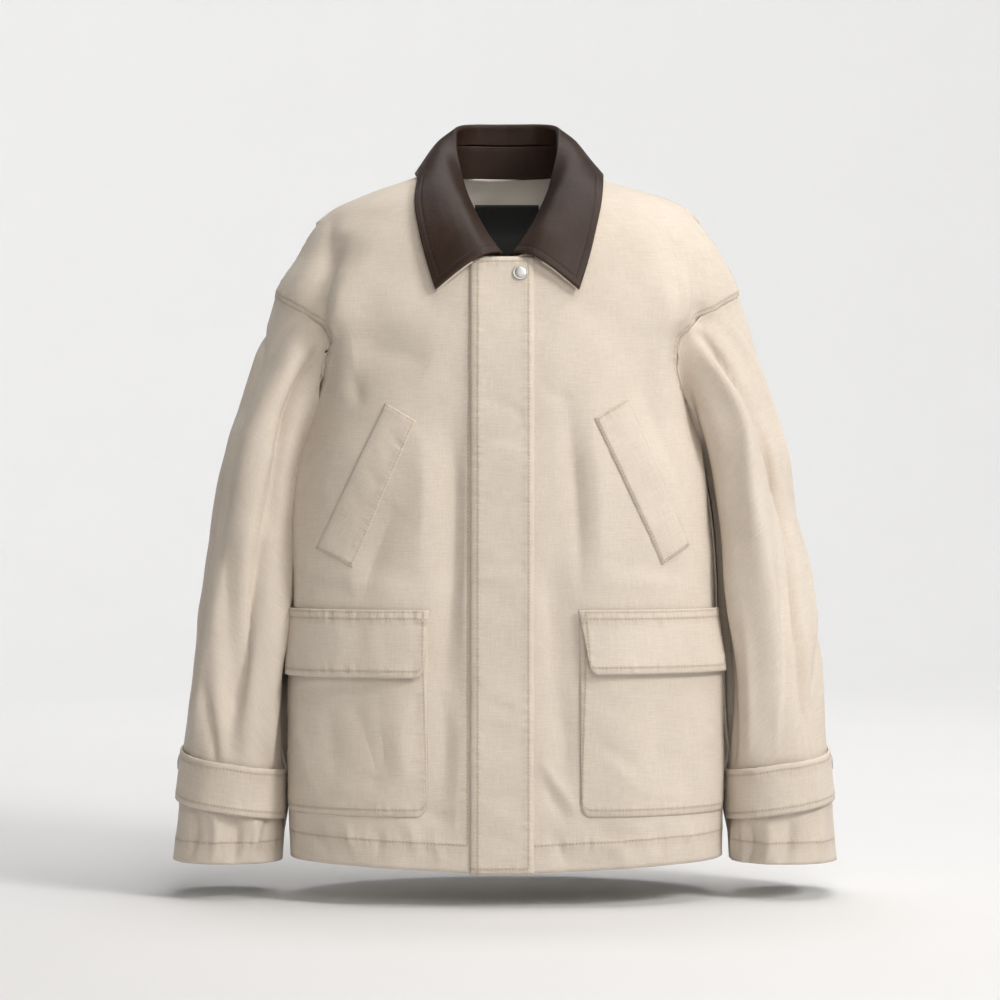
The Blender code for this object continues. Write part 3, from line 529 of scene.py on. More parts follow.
def cloth_piece(name, outer, wall, core, rows, material=COTTON, slot="cloth", cut=None):
    """A wall of cloth or leather inside a grid of outer points. Its UV map "cut" is along the grain in
    metres, or else the distance from the left and the top edge. Each point knows its distance from up to
    two sewn rows ("row_0", "row_1") and from the nearest edge ("edge"), whether that is a side ("beside"),
    and whether it is on the inner side ("inside")."""
    normal = grid_normals(outer, core)
    inner = outer - normal * np.broadcast_to(wall, outer.shape[:2])[..., None]
    points = np.concatenate([outer, inner])
    faces = wall_faces(*outer.shape[:2])
    first = points.reshape(-1, 3)[faces[0]]
    if np.dot(np.cross(first[1] - first[0], first[3] - first[0]), normal[0, 0]) < 0:
        faces = faces[:, ::-1]
    layer = "cloth" if slot == "cloth" else "skin"
    obj = mesh_piece(f"{name}_{layer}", points, faces.tolist(), material, slot)
    values = {f"row_{k}": row_distance(outer, row) for k, row in enumerate([*rows, [], []][:2])}
    values |= {"edge": nearest_edge(outer), "beside": beside_ends(outer)}
    values = {label: np.tile(value.reshape(-1), 2) for label, value in values.items()}
    values["inside"] = np.repeat([0.0, 1.0], outer[..., 0].size)
    for label, value in values.items():
        obj.data.attributes.new(label, "FLOAT", "POINT").data.foreach_set("value", value)
    cut = cut or (from_edge(outer, "left"), from_edge(outer, "top"))
    cut = np.tile(np.stack(cut, -1).reshape(-1, 2), (2, 1))
    corner = np.empty(len(obj.data.loops), int)
    obj.data.loops.foreach_get("vertex_index", corner)
    obj.data.uv_layers.new(name="cut").data.foreach_set("uv", cut[corner].reshape(-1))
    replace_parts(obj, name)
    return obj


def sewn_lines(outer, core, rows):
    """Places and normals along each part of the sewn rows, left out where it passes a corner."""
    normal, lines = grid_normals(outer, core), []
    for row in rows:
        away = row_distance(outer, row)[..., None]
        for edge, inset, first, last in row:
            total = edge_view(from_edge(outer, edge), edge)
            line = np.arange(len(total))
            cell = np.clip((total < inset).sum(1) - 1, 0, total.shape[1] - 2)
            before, after = total[line, cell], total[line, cell + 1]
            part = ((inset - before) / (after - before))[:, None]
            views = [edge_view(grid, edge) for grid in (outer, normal, away)]
            place, out, gap = (v[line, cell] + (v[line, cell + 1] - v[line, cell]) * part for v in views)
            share = np.linspace(0, 1, len(total))
            keep = (share >= first) & (share <= last) & (gap[:, 0] > -0.0012)
            if keep.sum() > 2:
                lines.append((place[keep], unit(out[keep])))
    return lines


def stitches(name, lines, material, slot, long=0.0027, wide=0.0008, pitch=0.0034):
    """Threads along sewn lines, each a closed spindle of 24 faces: three hexagons between two ends,
    half sunk in the cloth."""
    spots = []
    for line, normal in lines:
        length = np.concatenate([[0], np.cumsum(np.linalg.norm(np.diff(line, axis=0), axis=-1))])
        at = np.arange(pitch * 0.5, length[-1], pitch)
        place, out = (
            np.stack([np.interp(at, length, grid[:, axis]) for axis in range(3)], -1) for grid in (line, normal)
        )
        if len(at) > 1:
            spots.append((place, unit(out), unit(np.gradient(place, axis=0))))
    place, out, ahead = (np.concatenate(parts)[:, None] for parts in zip(*spots))
    beside = np.cross(out, ahead)
    sunk, flat = 0.3 * wide, 0.4 * wide
    along_it, turn = np.repeat([-0.6, 0.0, 0.6], 6), np.tile(np.arange(6) * np.pi / 3, 3)
    swell = np.where(along_it == 0, 1.0, 0.85)
    shape = np.stack([along_it * long / 2, swell * np.cos(turn) * wide / 2, swell * np.sin(turn) * flat], -1)
    shape = np.concatenate([shape, [[-long / 2, 0, -sunk], [long / 2, 0, -sunk]]])
    points = place + shape[:, :1] * ahead + shape[:, 1:2] * beside + shape[:, 2:] * out
    pairs = [(a, (a + 1) % 6) for a in range(6)]
    faces = np.array([[a + k, b + k, b + k + 6, a + k + 6] for k in (0, 6) for a, b in pairs])
    caps = np.array([[b, a, 18] for a, b in pairs] + [[a + 12, b + 12, 19] for a, b in pairs])
    first = 20 * np.arange(len(points))[:, None, None]
    every = (faces + first).reshape(-1, 4).tolist() + (caps + first).reshape(-1, 3).tolist()
    return mesh_piece(name, points, every, material, slot)


def cotton_thread(start):
    """Twisted sewing thread, a little paler or darker from stitch to stitch."""
    shade, ply = start.place().noise(300.0, 2.0), start.place().noise(2600.0, 2.0)
    return shade.mix((0.50, 0.41, 0.32, 1), (0.74, 0.65, 0.54, 1)), 0.55 + ply * 0.25, ply * 0.00006


THREAD = finish("cotton_thread", (0.6, 0.5, 0.4), cotton_thread, {"Specular IOR Level": 0.3})


def sewn_piece(name, outer, wall, core, rows, cut=None, look=(COTTON, THREAD, "cloth")):
    """A piece with its stitching."""
    material, thread, slot = look
    cloth = cloth_piece(name, outer, wall, core, rows, material, slot, cut)
    sewn = stitches(f"{name}_stitching", sewn_lines(outer, core, rows), thread, slot)


def drawn_in(points, gap):
    """The same grid with its outline drawn in by the gap, so that pieces stay apart at a seam."""
    points = points.copy()
    for edge, beside in ((0, 1), (-1, -2)):
        for view in (points, points.swapaxes(0, 1)):
            view[edge] += gap * unit(view[beside] - view[edge])
    return points


def panel_points(angle, z, seed, creases, spot, rows, calm=-1.0):
    """Outer points of a panel: on the body, with its creases, slack, seam dips and puckers, which end
    calm metres from its left edge, where another piece lies on it."""
    flat = torso(angle, z)
    relief = crease_relief(flat, creases, spot) + slack(flat, *PANEL_SLACK)
    bare = np.clip((from_edge(flat, "left") - calm) / 0.02, 0, 1)
    for k, row in enumerate(rows):
        relief += bare * puckers(flat, seed + k) * PUCKER_DEPTH * bell(row_distance(flat, row), PUCKER_WIDTH)
    relief -= SEAM_DIP * bell(nearest_edge(flat, ("right", "top")), SEAM_WIDTH)
    return drawn_in(torso(angle, z, relief), SEAM_GAP)


def on_grain(angle, z):
    """Places along the weft and warp of a panel, in metres, on a body of one radius."""
    return np.radians(angle) * GRAIN_RADIUS, -z


def front_spot(x, z):
    """The point of the body's front that shows at x and height z in the front view."""
    return torso(angle_at(x, z), z)


PANEL_SLACK = 5, 0.0011
PUCKER_DEPTH, PUCKER_WIDTH = 0.0009, 0.008
SEAM_DIP, SEAM_WIDTH = 0.0004, 0.0025
FRONT_COLUMNS = 56, 64
FRONT_CREASES = {
    RIGHT: numbers("""
    -173 -47 -182 -122 -197 -214 11.2 -5.5
    -155 -101 -163 -157 -179 -218 13.8 2.5
    -179 -182 -197 -262 -211 -398 11.2 5
    -146 -188 -112 -187 -76 -202 16.2 -4.6
    -149 -207 -145 -224 -143 -242 7.5 -2.5
    -55 -263 -52 -368 -63 -511 11.2 -5.5
    -85 -263 -81 -325 -86 -402 15 4.2
    -43 -273 -43 -387 -45 -511 7.5 2.1
    -104 -335 -127 -383 -139 -432 12.5 -3.8
    -156 -416 -127 -411 -88 -422 11.2 2.1
    -193 -403 -176 -415 -151 -407 10 -2.1
    -201 -417 -204 -427 -206 -439 7.5 2.1
    -66 -511 -60 -559 -64 -616 10 -2.9
    -50 -521 -48 -597 -53 -664 10 2.1
    -201 -647 -183 -655 -171 -675 6.2 -2.3
    -161 -640 -149 -655 -145 -677 6.2 1.9
    -130 -640 -122 -655 -124 -680 6.2 -2.1
    -105 -636 -91 -647 -85 -679 6.2 1.9
    -88 -622 -68 -633 -50 -637 7.5 -1.9
    -74 -649 -66 -664 -64 -681 6.2 1.9
    """),
    LEFT: numbers("""
    163 -78 163 -126 171 -181 6.2 -3.4
    176 -71 180 -122 183 -185 10 3.8
    189 -88 193 -165 199 -238 8.8 -6.7
    203 -136 210 -164 217 -193 6.2 3.2
    171 -201 185 -272 196 -359 11.2 4.6
    119 -202 149 -265 186 -361 13.8 -5.5
    142 -186 158 -215 170 -253 11.2 2.5
    59 -239 66 -320 72 -425 10 -5.5
    79 -235 87 -330 89 -416 15 3.4
    46 -168 46 -273 50 -416 15 2.1
    36 -387 43 -444 46 -521 11.2 -2.5
    31 -576 48 -602 69 -631 6.2 3.2
    31 -592 44 -616 60 -641 6.2 -2.1
    89 -416 127 -409 176 -417 10 2.1
    100 -402 137 -393 186 -400 10 -1.9
    50 -511 56 -559 58 -607 11.2 -2.5
    79 -643 100 -651 127 -648 7.5 -2.3
    89 -657 106 -667 110 -684 6.2 1.9
    137 -643 147 -658 150 -680 6.2 -1.9
    166 -636 176 -656 178 -676 6.2 1.9
    39 -645 50 -662 56 -681 6.2 -2.3
    127 -658 135 -671 137 -683 5 1.5
    60 -139 89 -150 127 -144 20 -1.7
    36 -235 50 -231 65 -238 7.5 -1.5
    """),
}
ARM_SHARE, NECK_SHARE = 8 / 19, 7 / 15
FRONT_ROWS = [
    [("right", 0.0018, 0, ARM_SHARE), ("top", 0.0095, NECK_SHARE, 1), ("low", 0.026, 0, 1)],
    [("right", 0.0075, 0, ARM_SHARE)],
]
FRONT_EDGE_X = {RIGHT: PLACKET_SEAM_X + UNDER_PLACKET, LEFT: PLACKET_SEAM_X + UNDERLAP}
FRONT_CALM = {RIGHT: 0.064, LEFT: 0.008}
BODY_CORE = np.array([0.0, -0.02, -0.35])
for side, edge_x in FRONT_EDGE_X.items():
    angle, z = panel_rows(side, float(side * angle_at(edge_x, HEM_SIDE_Z)), *FRONT_COLUMNS, True)
    rows = [FRONT_ROWS[0] + [("left", 0.0075, 0, 1)] * (side == RIGHT), FRONT_ROWS[1]]
    outer = panel_points(angle, z, 11 + side, FRONT_CREASES[side], front_spot, rows, FRONT_CALM[side])
    sewn_piece(
        f"front_{SIDE_NAMES[side]}", outer, CLOTH_WALL, BODY_CORE, rows,
        on_grain(angle, z),
    )

# Storm fly placket: a strip of two layers sewn over the right front along its left side in the view,
# with a row along every edge. Snaps hidden under it dimple it at four heights.
FOLDED_WALL = 0.0024
LAY_GAP = 0.0009
PLACKET_TOP_Z = -0.0961
PLACKET_FREE_X = 0.0255
PLACKET_CREASES = numbers("""
    -28 -230 -9 -237 14 -246 6 -1
    7 -238 10 -248 16 -254 4 -1.4
    -30 -265 -7 -273 22 -269 6 -1
    -28 -284 -7 -280 22 -290 5 0.7
    -30 -382 -7 -393 22 -389 5 -1.1
    6 -383 12 -393 18 -397 4 -1.4
    -30 -399 -9 -406 22 -402 6 0.8
    -30 -521 -12 -526 4 -536 5 -1.3
    -26 -536 -2 -542 24 -536 5 1.1
    -32 -561 -7 -568 22 -563 6 -0.8
    -32 -607 -7 -614 22 -608 6 -1.1
    -28 -627 -2 -633 22 -627 5 1
    -32 -647 -9 -652 18 -664 5 -1
    -7 -523 1 -529 8 -532 4 -1.4
    -28 -168 -7 -174 22 -168 8 -0.6
    -28 -330 -7 -336 22 -332 8 -0.7
    -28 -454 -7 -460 22 -454 8 -0.7
    -17 -666 -2 -671 12 -679 5 0.8
""")


def laid_points(angle, z, low, seed, creases, rows, pucker, edge_dip, pressed):
    """Outer points of a piece laid on the body, low metres off it, with creases and puckered rows, and
    how far they dip towards the edges, where the wall is thinner and is pressed down."""
    flat, body = torso(angle, z, low), torso(angle, z)
    side = RIGHT if flat[..., 0].mean() < 0.01 else LEFT
    relief = crease_relief(body, FRONT_CREASES[side], front_spot) + slack(body, *PANEL_SLACK)
    relief += crease_relief(flat, creases, front_spot) + slack(flat, seed, 0.0003)
    for k, row in enumerate(rows):
        relief += puckers(flat, seed + k) * pucker * bell(row_distance(flat, row), 0.006)
    edge = nearest_edge(flat)
    dip = edge_dip * bell(edge, 0.0022)
    return torso(angle, z, low + relief - dip - pressed * bell(edge, 0.009)), dip


def laid_piece(name, angle, z, low, wall, seed, creases, rows, shape=(0.0006, 0.0009, 0.0006)):
    """shape is the depth of its puckers, and how far its edges dip and are pressed down."""
    outer, dip = laid_points(angle, z, low, seed, creases, rows, *shape)
    sewn_piece(name, outer, wall - dip, BODY_CORE, rows)


def full_rows(inset, *edges):
    """A sewn row along the whole of each edge."""
    return [(edge, inset, 0, 1) for edge in edges]


PLACKET_ROWS = [
    full_rows(0.0068, "left"),
    full_rows(0.0060, "right") + full_rows(0.0055, "top") + full_rows(0.0050, "low"),
]
x = np.linspace(PLACKET_SEAM_X, PLACKET_FREE_X, 27)[None, :]
low_z = HEM_SIDE_Z - HEM_FRONT_DROP
z = PLACKET_TOP_Z + (low_z - PLACKET_TOP_Z) * np.linspace(0, 1, 250)[:, None] + 0 * x
laid_piece(
    "placket", angle_at(x + 0 * z, z), z, LAY_GAP + FOLDED_WALL, FOLDED_WALL, 21,
    PLACKET_CREASES, PLACKET_ROWS,
)

# Back: one panel of the same cotton from the neck seam to the hem. Its folds aren't in view, and are
# placed like those of the fronts.
BACK_CREASES = numbers("""
    -171 -99 -149 -167 -130 -253 15.6 -7.8
    170 -101 149 -172 127 -258 15.6 -7.2
    -83 -139 -74 -263 -80 -425 18.2 6.6
    79 -149 73 -273 81 -435 18.2 -6.6
    -2 -168 1 -301 -7 -463 20.8 -6
    -36 -330 -43 -444 -36 -597 15.6 5.4
    39 -349 46 -464 41 -616 15.6 5.4
    -183 -253 -189 -388 -185 -562 14.3 7.2
    180 -262 188 -388 184 -562 14.3 7.2
    -141 -388 -122 -483 -130 -617 14.3 -6.6
    127 -387 114 -483 121 -627 14.3 -6.6
    -103 -301 -64 -319 -17 -311 13 -3.6
    12 -387 60 -376 108 -387 13 -3.6
    -161 -513 -122 -521 -74 -511 11.7 3.3
    50 -521 98 -533 147 -522 11.7 3
    -191 -646 -176 -658 -171 -677 6.5 -3
    -122 -642 -110 -657 -108 -680 6.5 2.7
    -55 -639 -47 -656 -49 -681 6.5 -3
    22 -639 31 -656 35 -681 6.5 2.7
    98 -640 106 -657 104 -680 6.5 -3
    166 -638 174 -656 176 -675 6.5 2.7
""")


def both_halves():
    """Angles and heights over the whole back, from its two halves."""
    (right_angle, right_z), (left_angle, left_z) = (
        panel_rows(side, 180.0, *BACK_COLUMNS, False) for side in (RIGHT, LEFT)
    )
    angle = np.concatenate([right_angle[:, :0:-1] + 360.0, left_angle], axis=1)
    return angle, np.concatenate([right_z[:, :0:-1], left_z], axis=1)


def back_spot(x, z):
    """The point of the back that lies behind x and height z in the front view."""
    return torso(angle_at(x, z, "back"), z)


BACK_COLUMNS = 36, 54
BACK_ROWS = [
    [("right", 0.0018, 0, ARM_SHARE), ("left", 0.0018, 0, ARM_SHARE), ("low", 0.026, 0, 1)],
    [("right", 0.0075, 0, ARM_SHARE), ("left", 0.0075, 0, ARM_SHARE)],
]
back_angle, back_z = both_halves()
outer = panel_points(back_angle, back_z, 31, BACK_CREASES, back_spot, BACK_ROWS)
sewn_piece(
    "back", outer, CLOTH_WALL, BODY_CORE, BACK_ROWS,
    on_grain(back_angle, back_z),
)

# Storm cape: a loose layer over the shoulders, sewn in at the neck and shoulder seams, free below
# and at its two corners, which stand off at the shoulder tips.
CAPE_STAND_OFF = 0.0040
CAPE_SHORT, CAPE_LOW_ROW = 23, 6 * FINER
angle, z = (grid[2:CAPE_LOW_ROW + 1, CAPE_SHORT:-CAPE_SHORT] for grid in (back_angle, back_z))
down = np.linspace(0, 1, angle.shape[0])[:, None]
across = np.abs(np.linspace(-1, 1, angle.shape[1]))
low = 0.0004 + CAPE_STAND_OFF * np.maximum(down**0.8, across**10)
CAPE_ROWS = [full_rows(0.0070, "low", "left", "right")]
flat = torso(angle, z, low + CLOTH_WALL)
away = row_distance(flat, CAPE_ROWS[0])
relief = slack(flat, 37, 0.0004) + ripple(from_edge(flat, "left"), 38) * 0.0004 * bell(away, 0.007)
outer = torso(angle, z, low + CLOTH_WALL + relief)
sewn_piece(
    "back_cape", outer, CLOTH_WALL, BODY_CORE, CAPE_ROWS,
    on_grain(angle, z),
)

# Sleeves: each a tube of the same cotton, cut in one piece and closed by an underarm seam, set into
# the armhole. Long folds fall from the shoulder to the cuff, and the cuff's hem is turned up 21 mm.
CUFF_Z = -0.684
CAP_CROWDING = 1.15
SLEEVE_BULGE, BULGE_ANGLE, BULGE_SPREAD = 0.008, -152.0, 24.0
BULGE_TOP_Z, BULGE_LOW_Z = -0.27, -0.66
TUCK_LENGTH, TUCK_DEPTH = 0.003, 0.0026
SLEEVE_CORE_X, SLEEVE_CORE_Y = 0.265, -0.01
SLEEVE_SQUARE = 2.3
CAP_BLEND_OUTER, CAP_BLEND_INNER = 7.0, 24.0
SLEEVE_CLEAR = 0.0012
# The sleeve's horizontal sections: the outer line on each side, mid depth, the depths from there to
# the front and to the back, and how clear of the body the inner line is
SLEEVE = columns("z right left mid_y front back clear", """
    -0.128 0.231 0.231 0 0.07 0.078 0.002
    -0.163 0.244 0.244 0.001 0.078 0.083 0.002
    -0.2 0.255 0.253 0.002 0.084 0.086 0.0022
    -0.24 0.267 0.261 0.003 0.088 0.087 0.0025
    -0.285 0.28 0.273 0.004 0.09 0.086 0.003
    -0.35 0.2925 0.2855 0.003 0.09 0.083 0.003
    -0.43 0.305 0.302 -0.002 0.086 0.079 0.003
    -0.5 0.313 0.3105 -0.008 0.08 0.074 0.0032
    -0.58 0.3205 0.317 -0.014 0.074 0.069 0.0042
    -0.63 0.3255 0.322 -0.017 0.07 0.066 0.005
    -0.7 0.332 0.33 -0.019 0.068 0.064 0.009
""")
# The sleeve's largest folds, by angle from the outer line round the front
SLEEVE_FOLDS = numbers("""
    62 -0.17 96 -0.6 0.01 -0.01
    112 -0.24 128 -0.59 0.013 0.005
    24 -0.15 40 -0.48 0.018 0.003
    -60 -0.2 -80 -0.62 0.012 -0.008
    -110 -0.26 -118 -0.56 0.013 0.004
""", 6)
SLEEVE_CREASES = {
    RIGHT: numbers("""
    -210 -111 -226 -227 -242 -369 8 -16.2
    -237 -291 -253 -428 -272 -580 10 -14.2
    -195 -141 -209 -232 -225 -350 9 10.8
    -219 -271 -233 -418 -247 -580 11 10.8
    -239 -223 -261 -359 -282 -486 13 6.8
    -263 -262 -288 -418 -306 -564 11 -6.8
    -204 -271 -212 -359 -216 -467 12 -13.5
    -212 -369 -216 -486 -219 -592 13 -14.9
    -279 -428 -290 -525 -298 -588 9 4.7
    -286 -496 -282 -555 -279 -590 6 -6.1
    -236 -516 -241 -560 -237 -594 6 5.4
    -249 -131 -245 -184 -255 -252 10 -5.4
    -302 -619 -297 -648 -304 -682 6 -5.4
    -286 -623 -280 -652 -286 -684 6 4.7
    -269 -631 -265 -656 -271 -687 6 -5.9
    -254 -635 -251 -658 -257 -686 6 4.6
    -237 -631 -243 -662 -236 -687 6 -5.7
    """),
    LEFT: numbers("""
    200 -125 221 -195 244 -287 6 -16.2
    233 -242 263 -350 276 -477 8 -17.6
    268 -389 282 -506 291 -590 9 -14.9
    210 -150 230 -262 244 -369 9 10.8
    237 -310 257 -457 263 -588 11 12.2
    227 -150 255 -242 280 -345 9 6.8
    276 -320 294 -447 304 -564 9 5.4
    188 -213 206 -350 216 -486 10 -12.2
    210 -428 218 -516 216 -592 9 -10.8
    218 -408 229 -516 227 -594 8 -9.5
    239 -428 246 -525 242 -594 7 4.1
    302 -428 292 -516 301 -584 6 -4.6
    235 -135 251 -179 259 -242 8 -5.4
    272 -635 274 -662 266 -687 6 -5.9
    257 -641 259 -664 253 -686 6 4.6
    239 -641 243 -664 237 -689 6 -5.4
    223 -643 225 -664 222 -687 5 4.3
    298 -627 300 -656 294 -684 6 4.6
    """),
}
SLEEVE_BACK_CREASES = numbers("""
    -202 -135 -226 -232 -249 -350 9.6 -12
    -249 -350 -261 -457 -269 -574 9.6 -10.2
    -218 -164 -239 -271 -257 -369 10.8 7.2
    -234 -310 -239 -418 -239 -525 10.8 6
    -279 -350 -292 -447 -300 -555 10.8 -5.4
    -265 -262 -279 -330 -284 -398 10.8 4.2
    -222 -428 -230 -506 -232 -574 8.4 -5.4
    -286 -486 -277 -525 -271 -580 7.2 4.2
    -280 -625 -277 -652 -282 -680 7.2 -3.9
    -249 -633 -251 -658 -245 -684 7.2 3.9
""")


def clear_of_body(points, gap, soft):
    """Points moved along the body's normal, with a soft change, until they stand clear by gap."""
    for _ in range(3):
        x, y, z = np.moveaxis(points, -1, 0)
        angle = np.degrees(np.arctan2(x, torso_size("mid_y", z) - y))
        foot = torso_base(angle, z)
        normal = moved_out(torso_base, angle, z, 1.0) - foot
        distance = ((points - foot) * normal).sum(-1)
        wider = (distance + gap + np.sqrt((distance - gap) ** 2 + soft**2)) / 2
        points = points + normal * (wider - distance)[..., None]
    return points


def sleeve_size(name, z):
    """One column of the sleeves' table, smooth in height."""
    return smooth(SLEEVE["z"], SLEEVE[name], z)


def sleeve_lines(side, z):
    """How far out the sleeve's outer and inner lines are."""
    clear = sleeve_size("clear", z)
    return sleeve_size(SIDE_NAMES[side], z), half_width(side, np.minimum(z, UNDERARM_Z)) + clear


def sleeve_base(side):
    """The sleeve's outer face below the armhole, by angle from its outer line and height."""

    def surface(angle, z):
        turn = np.radians(angle)
        outer, inner = sleeve_lines(side, z)
        front = np.sin(turn) > 0
        depth = np.where(front, sleeve_size("front", z), sleeve_size("back", z))
        half = (outer - inner) / 2
        terms = (np.abs(np.cos(turn)) / half) ** SLEEVE_SQUARE
        terms = terms + (np.abs(np.sin(turn)) / depth) ** SLEEVE_SQUARE
        radius = terms ** (-1 / SLEEVE_SQUARE) + fold_height(SLEEVE_FOLDS, angle, z, radius=0.065)
        x = (outer + inner) / 2 + radius * np.cos(turn)
        inward = ((1 - np.cos(turn)) / 2) ** 3
        middle = sleeve_size("mid_y", z) * (1 - inward) + torso_size("mid_y", z) * inward
        y = middle - radius * np.sin(turn)
        return np.stack([side * x, y, z + 0 * x], -1)

    return surface


def sleeve_z(angle, share):
    """Height at a share of the sleeve's length: rings tilt at the armhole and are level at the cuff."""
    top = (SHOULDER_TIP_Z + UNDERARM_Z) / 2
    tilt = (SHOULDER_TIP_Z - UNDERARM_Z) / 2 * np.cos(np.radians(angle))
    return (top + tilt) * (1 - share) + CUFF_Z * share


def armhole_edge(side):
    """The panels' outlines round the armhole, front and back, from the shoulder tip."""
    angle, z = along(ARMHOLE, np.linspace(0, 1, 16 * FINER + 1)).values()
    return torso(side * angle, z) + np.array([side * SEAM_GAP, 0.0, -SEAM_GAP])


def sleeve_surface(side):
    """The sleeve's outer face by angle and share of its length: its sections, blended into the
    armhole seam at the top, quickly under the arm and slowly over the shoulder."""
    base = sleeve_base(side)
    edge = armhole_edge(side)
    knots = np.linspace(0, 360, len(edge))

    def surface(angle, share):
        below = base(angle, sleeve_z(angle, share))
        start = base(angle, sleeve_z(angle, 0 * share))
        seam = np.stack([np.interp(angle % 360.0, knots, edge[:, axis]) for axis in range(3)], -1)
        inward = (1 - np.cos(np.radians(angle))) / 2
        power = CAP_BLEND_OUTER + (CAP_BLEND_INNER - CAP_BLEND_OUTER) * inward
        blend = np.clip(1 - share, 0, 1) ** power
        points = below + (seam - start) * blend[..., None]
        return clear_of_body(points, SEAM_GAP + SLEEVE_CLEAR * np.clip(share / 0.04, 0, 1), 0.0006)

    return surface


def sleeve_spot(side, half):
    """Places on a sleeve's front half (1) or back half (-1) at x in the front view and height z."""
    surface = sleeve_surface(side)

    def spot(x, z):
        outer, inner = sleeve_lines(side, z)
        cosine = np.clip((side * x - (outer + inner) / 2) / ((outer - inner) / 2), -1, 1)
        angle = half * np.degrees(np.arccos(cosine))
        start = (SHOULDER_TIP_Z + UNDERARM_Z) / 2 + (SHOULDER_TIP_Z - UNDERARM_Z) / 2 * cosine
        return surface(angle, np.clip((start - z) / (start - CUFF_Z), 0, 1))

    return spot


def sleeve_core(side, points):
    """Places on the sleeve's middle line, as high as the points."""
    z = points[..., 2]
    return np.stack([side * SLEEVE_CORE_X + 0 * z, SLEEVE_CORE_Y + 0 * z, z], -1)


SLEEVE_ROWS = [full_rows(0.021, "low") + full_rows(0.002, "left")]
angle = np.linspace(-180, 180, 32 * 5 + 1)[None, :].clip(-179.9, 179.9)
share = (np.linspace(0, 1, 190) ** CAP_CROWDING)[:, None]
angle, share = (grid.copy() for grid in np.broadcast_arrays(angle, share))
for side in (RIGHT, LEFT):
    surface = sleeve_surface(side)
    flat = surface(angle, share)
    seam, from_left, z = from_edge(flat, "top"), from_edge(flat, "left"), flat[..., 2]
    relief = crease_relief(flat, SLEEVE_CREASES[side], sleeve_spot(side, 1))
    mirrored = SLEEVE_BACK_CREASES * [-side, 1, -side, 1, -side, 1, 1, 1]
    relief += crease_relief(flat, mirrored, sleeve_spot(side, -1))
    relief += slack(flat, 41 + side, 0.0014)
    relief += ripple(from_left, 45 + side) * 0.0011 * bell(row_distance(flat, SLEEVE_ROWS[0]), 0.010)
    # Near the armhole it follows the panels' creases and slack.
    shared = crease_relief(flat, FRONT_CREASES[side], front_spot) + crease_relief(flat, BACK_CREASES, back_spot)
    relief = relief * np.clip(seam / 0.04, 0, 1) + (shared + slack(flat, *PANEL_SLACK)) * bell(seam, 0.035)
    relief += ripple(from_left, 49 + side) * 0.0005 * bell(seam - 0.005, 0.005)
    # Its inner back bulges between the underarm and the cuff.
    between = np.clip((BULGE_TOP_Z - z) / 0.05, 0, 1) * np.clip((z - BULGE_LOW_Z) / 0.04, 0, 1)
    bulge = bell(angle - BULGE_ANGLE, BULGE_SPREAD) * between
    outer = moved_out(surface, angle, share, side * (relief + SLEEVE_BULGE * bulge))
    # Its top edge is tucked in under the panels.
    tuck = outer[:1] - TUCK_LENGTH * unit(outer[1:2] - outer[:1])
    outer = np.concatenate([clear_of_body(tuck, -TUCK_DEPTH, 0.0), outer])
    sewn_piece(
        f"sleeve_{SIDE_NAMES[side]}", outer, CLOTH_WALL, sleeve_core(side, outer), SLEEVE_ROWS,
    )

# Hand-warmer pockets: a slanted welt of two layers over each, open along its outer edge and sewn down
# along the other three.
WELT_WALL = 0.0017
# The x and z of its corners in the front view: top outer, top inner, low outer and low inner
WELT_CORNERS = {
    RIGHT: numbers("-0.1166 -0.2369 -0.0874 -0.2544 -0.1842 -0.3769 -0.1488 -0.3948", 2),
    LEFT: numbers("0.1157 -0.2325 0.0831 -0.2523 0.1760 -0.3739 0.1497 -0.3924", 2),
}
WELT_CREASES = {
    RIGHT: numbers("""
    -114 -263 -106 -273 -101 -290 4 -0.9
    -135 -294 -128 -307 -120 -330 4 -1
    -149 -317 -143 -330 -135 -351 4 -0.9
    -130 -273 -122 -284 -116 -301 5 0.7
    -157 -330 -151 -344 -145 -363 5 0.7
    -105 -246 -99 -254 -95 -263 4 0.6
    -171 -359 -163 -368 -155 -380 4 -0.6
    """),
    LEFT: numbers("""
    94 -273 106 -269 117 -273 5 -0.6
    108 -301 121 -297 133 -301 5 0.7
    123 -330 137 -324 147 -330 5 -0.6
    137 -359 149 -353 158 -359 5 0.6
    100 -284 108 -294 115 -297 4 0.5
    """),
}
WELT_ROWS = [full_rows(0.0020, "right", "top", "low")]
across = np.linspace(0, 1, 17)[None, :, None]
down = np.linspace(0, 1, 76)[:, None, None]
for side, (top_outer, top_inner, low_outer, low_inner) in WELT_CORNERS.items():
    top = top_outer * (1 - across) + top_inner * across
    low = low_outer * (1 - across) + low_inner * across
    x, z = np.moveaxis(top * (1 - down) + low * down, -1, 0)
    laid_piece(
        f"welt_{SIDE_NAMES[side]}", angle_at(x, z), z, LAY_GAP + WELT_WALL, WELT_WALL,
        51 + side, WELT_CREASES[side], WELT_ROWS,
    )

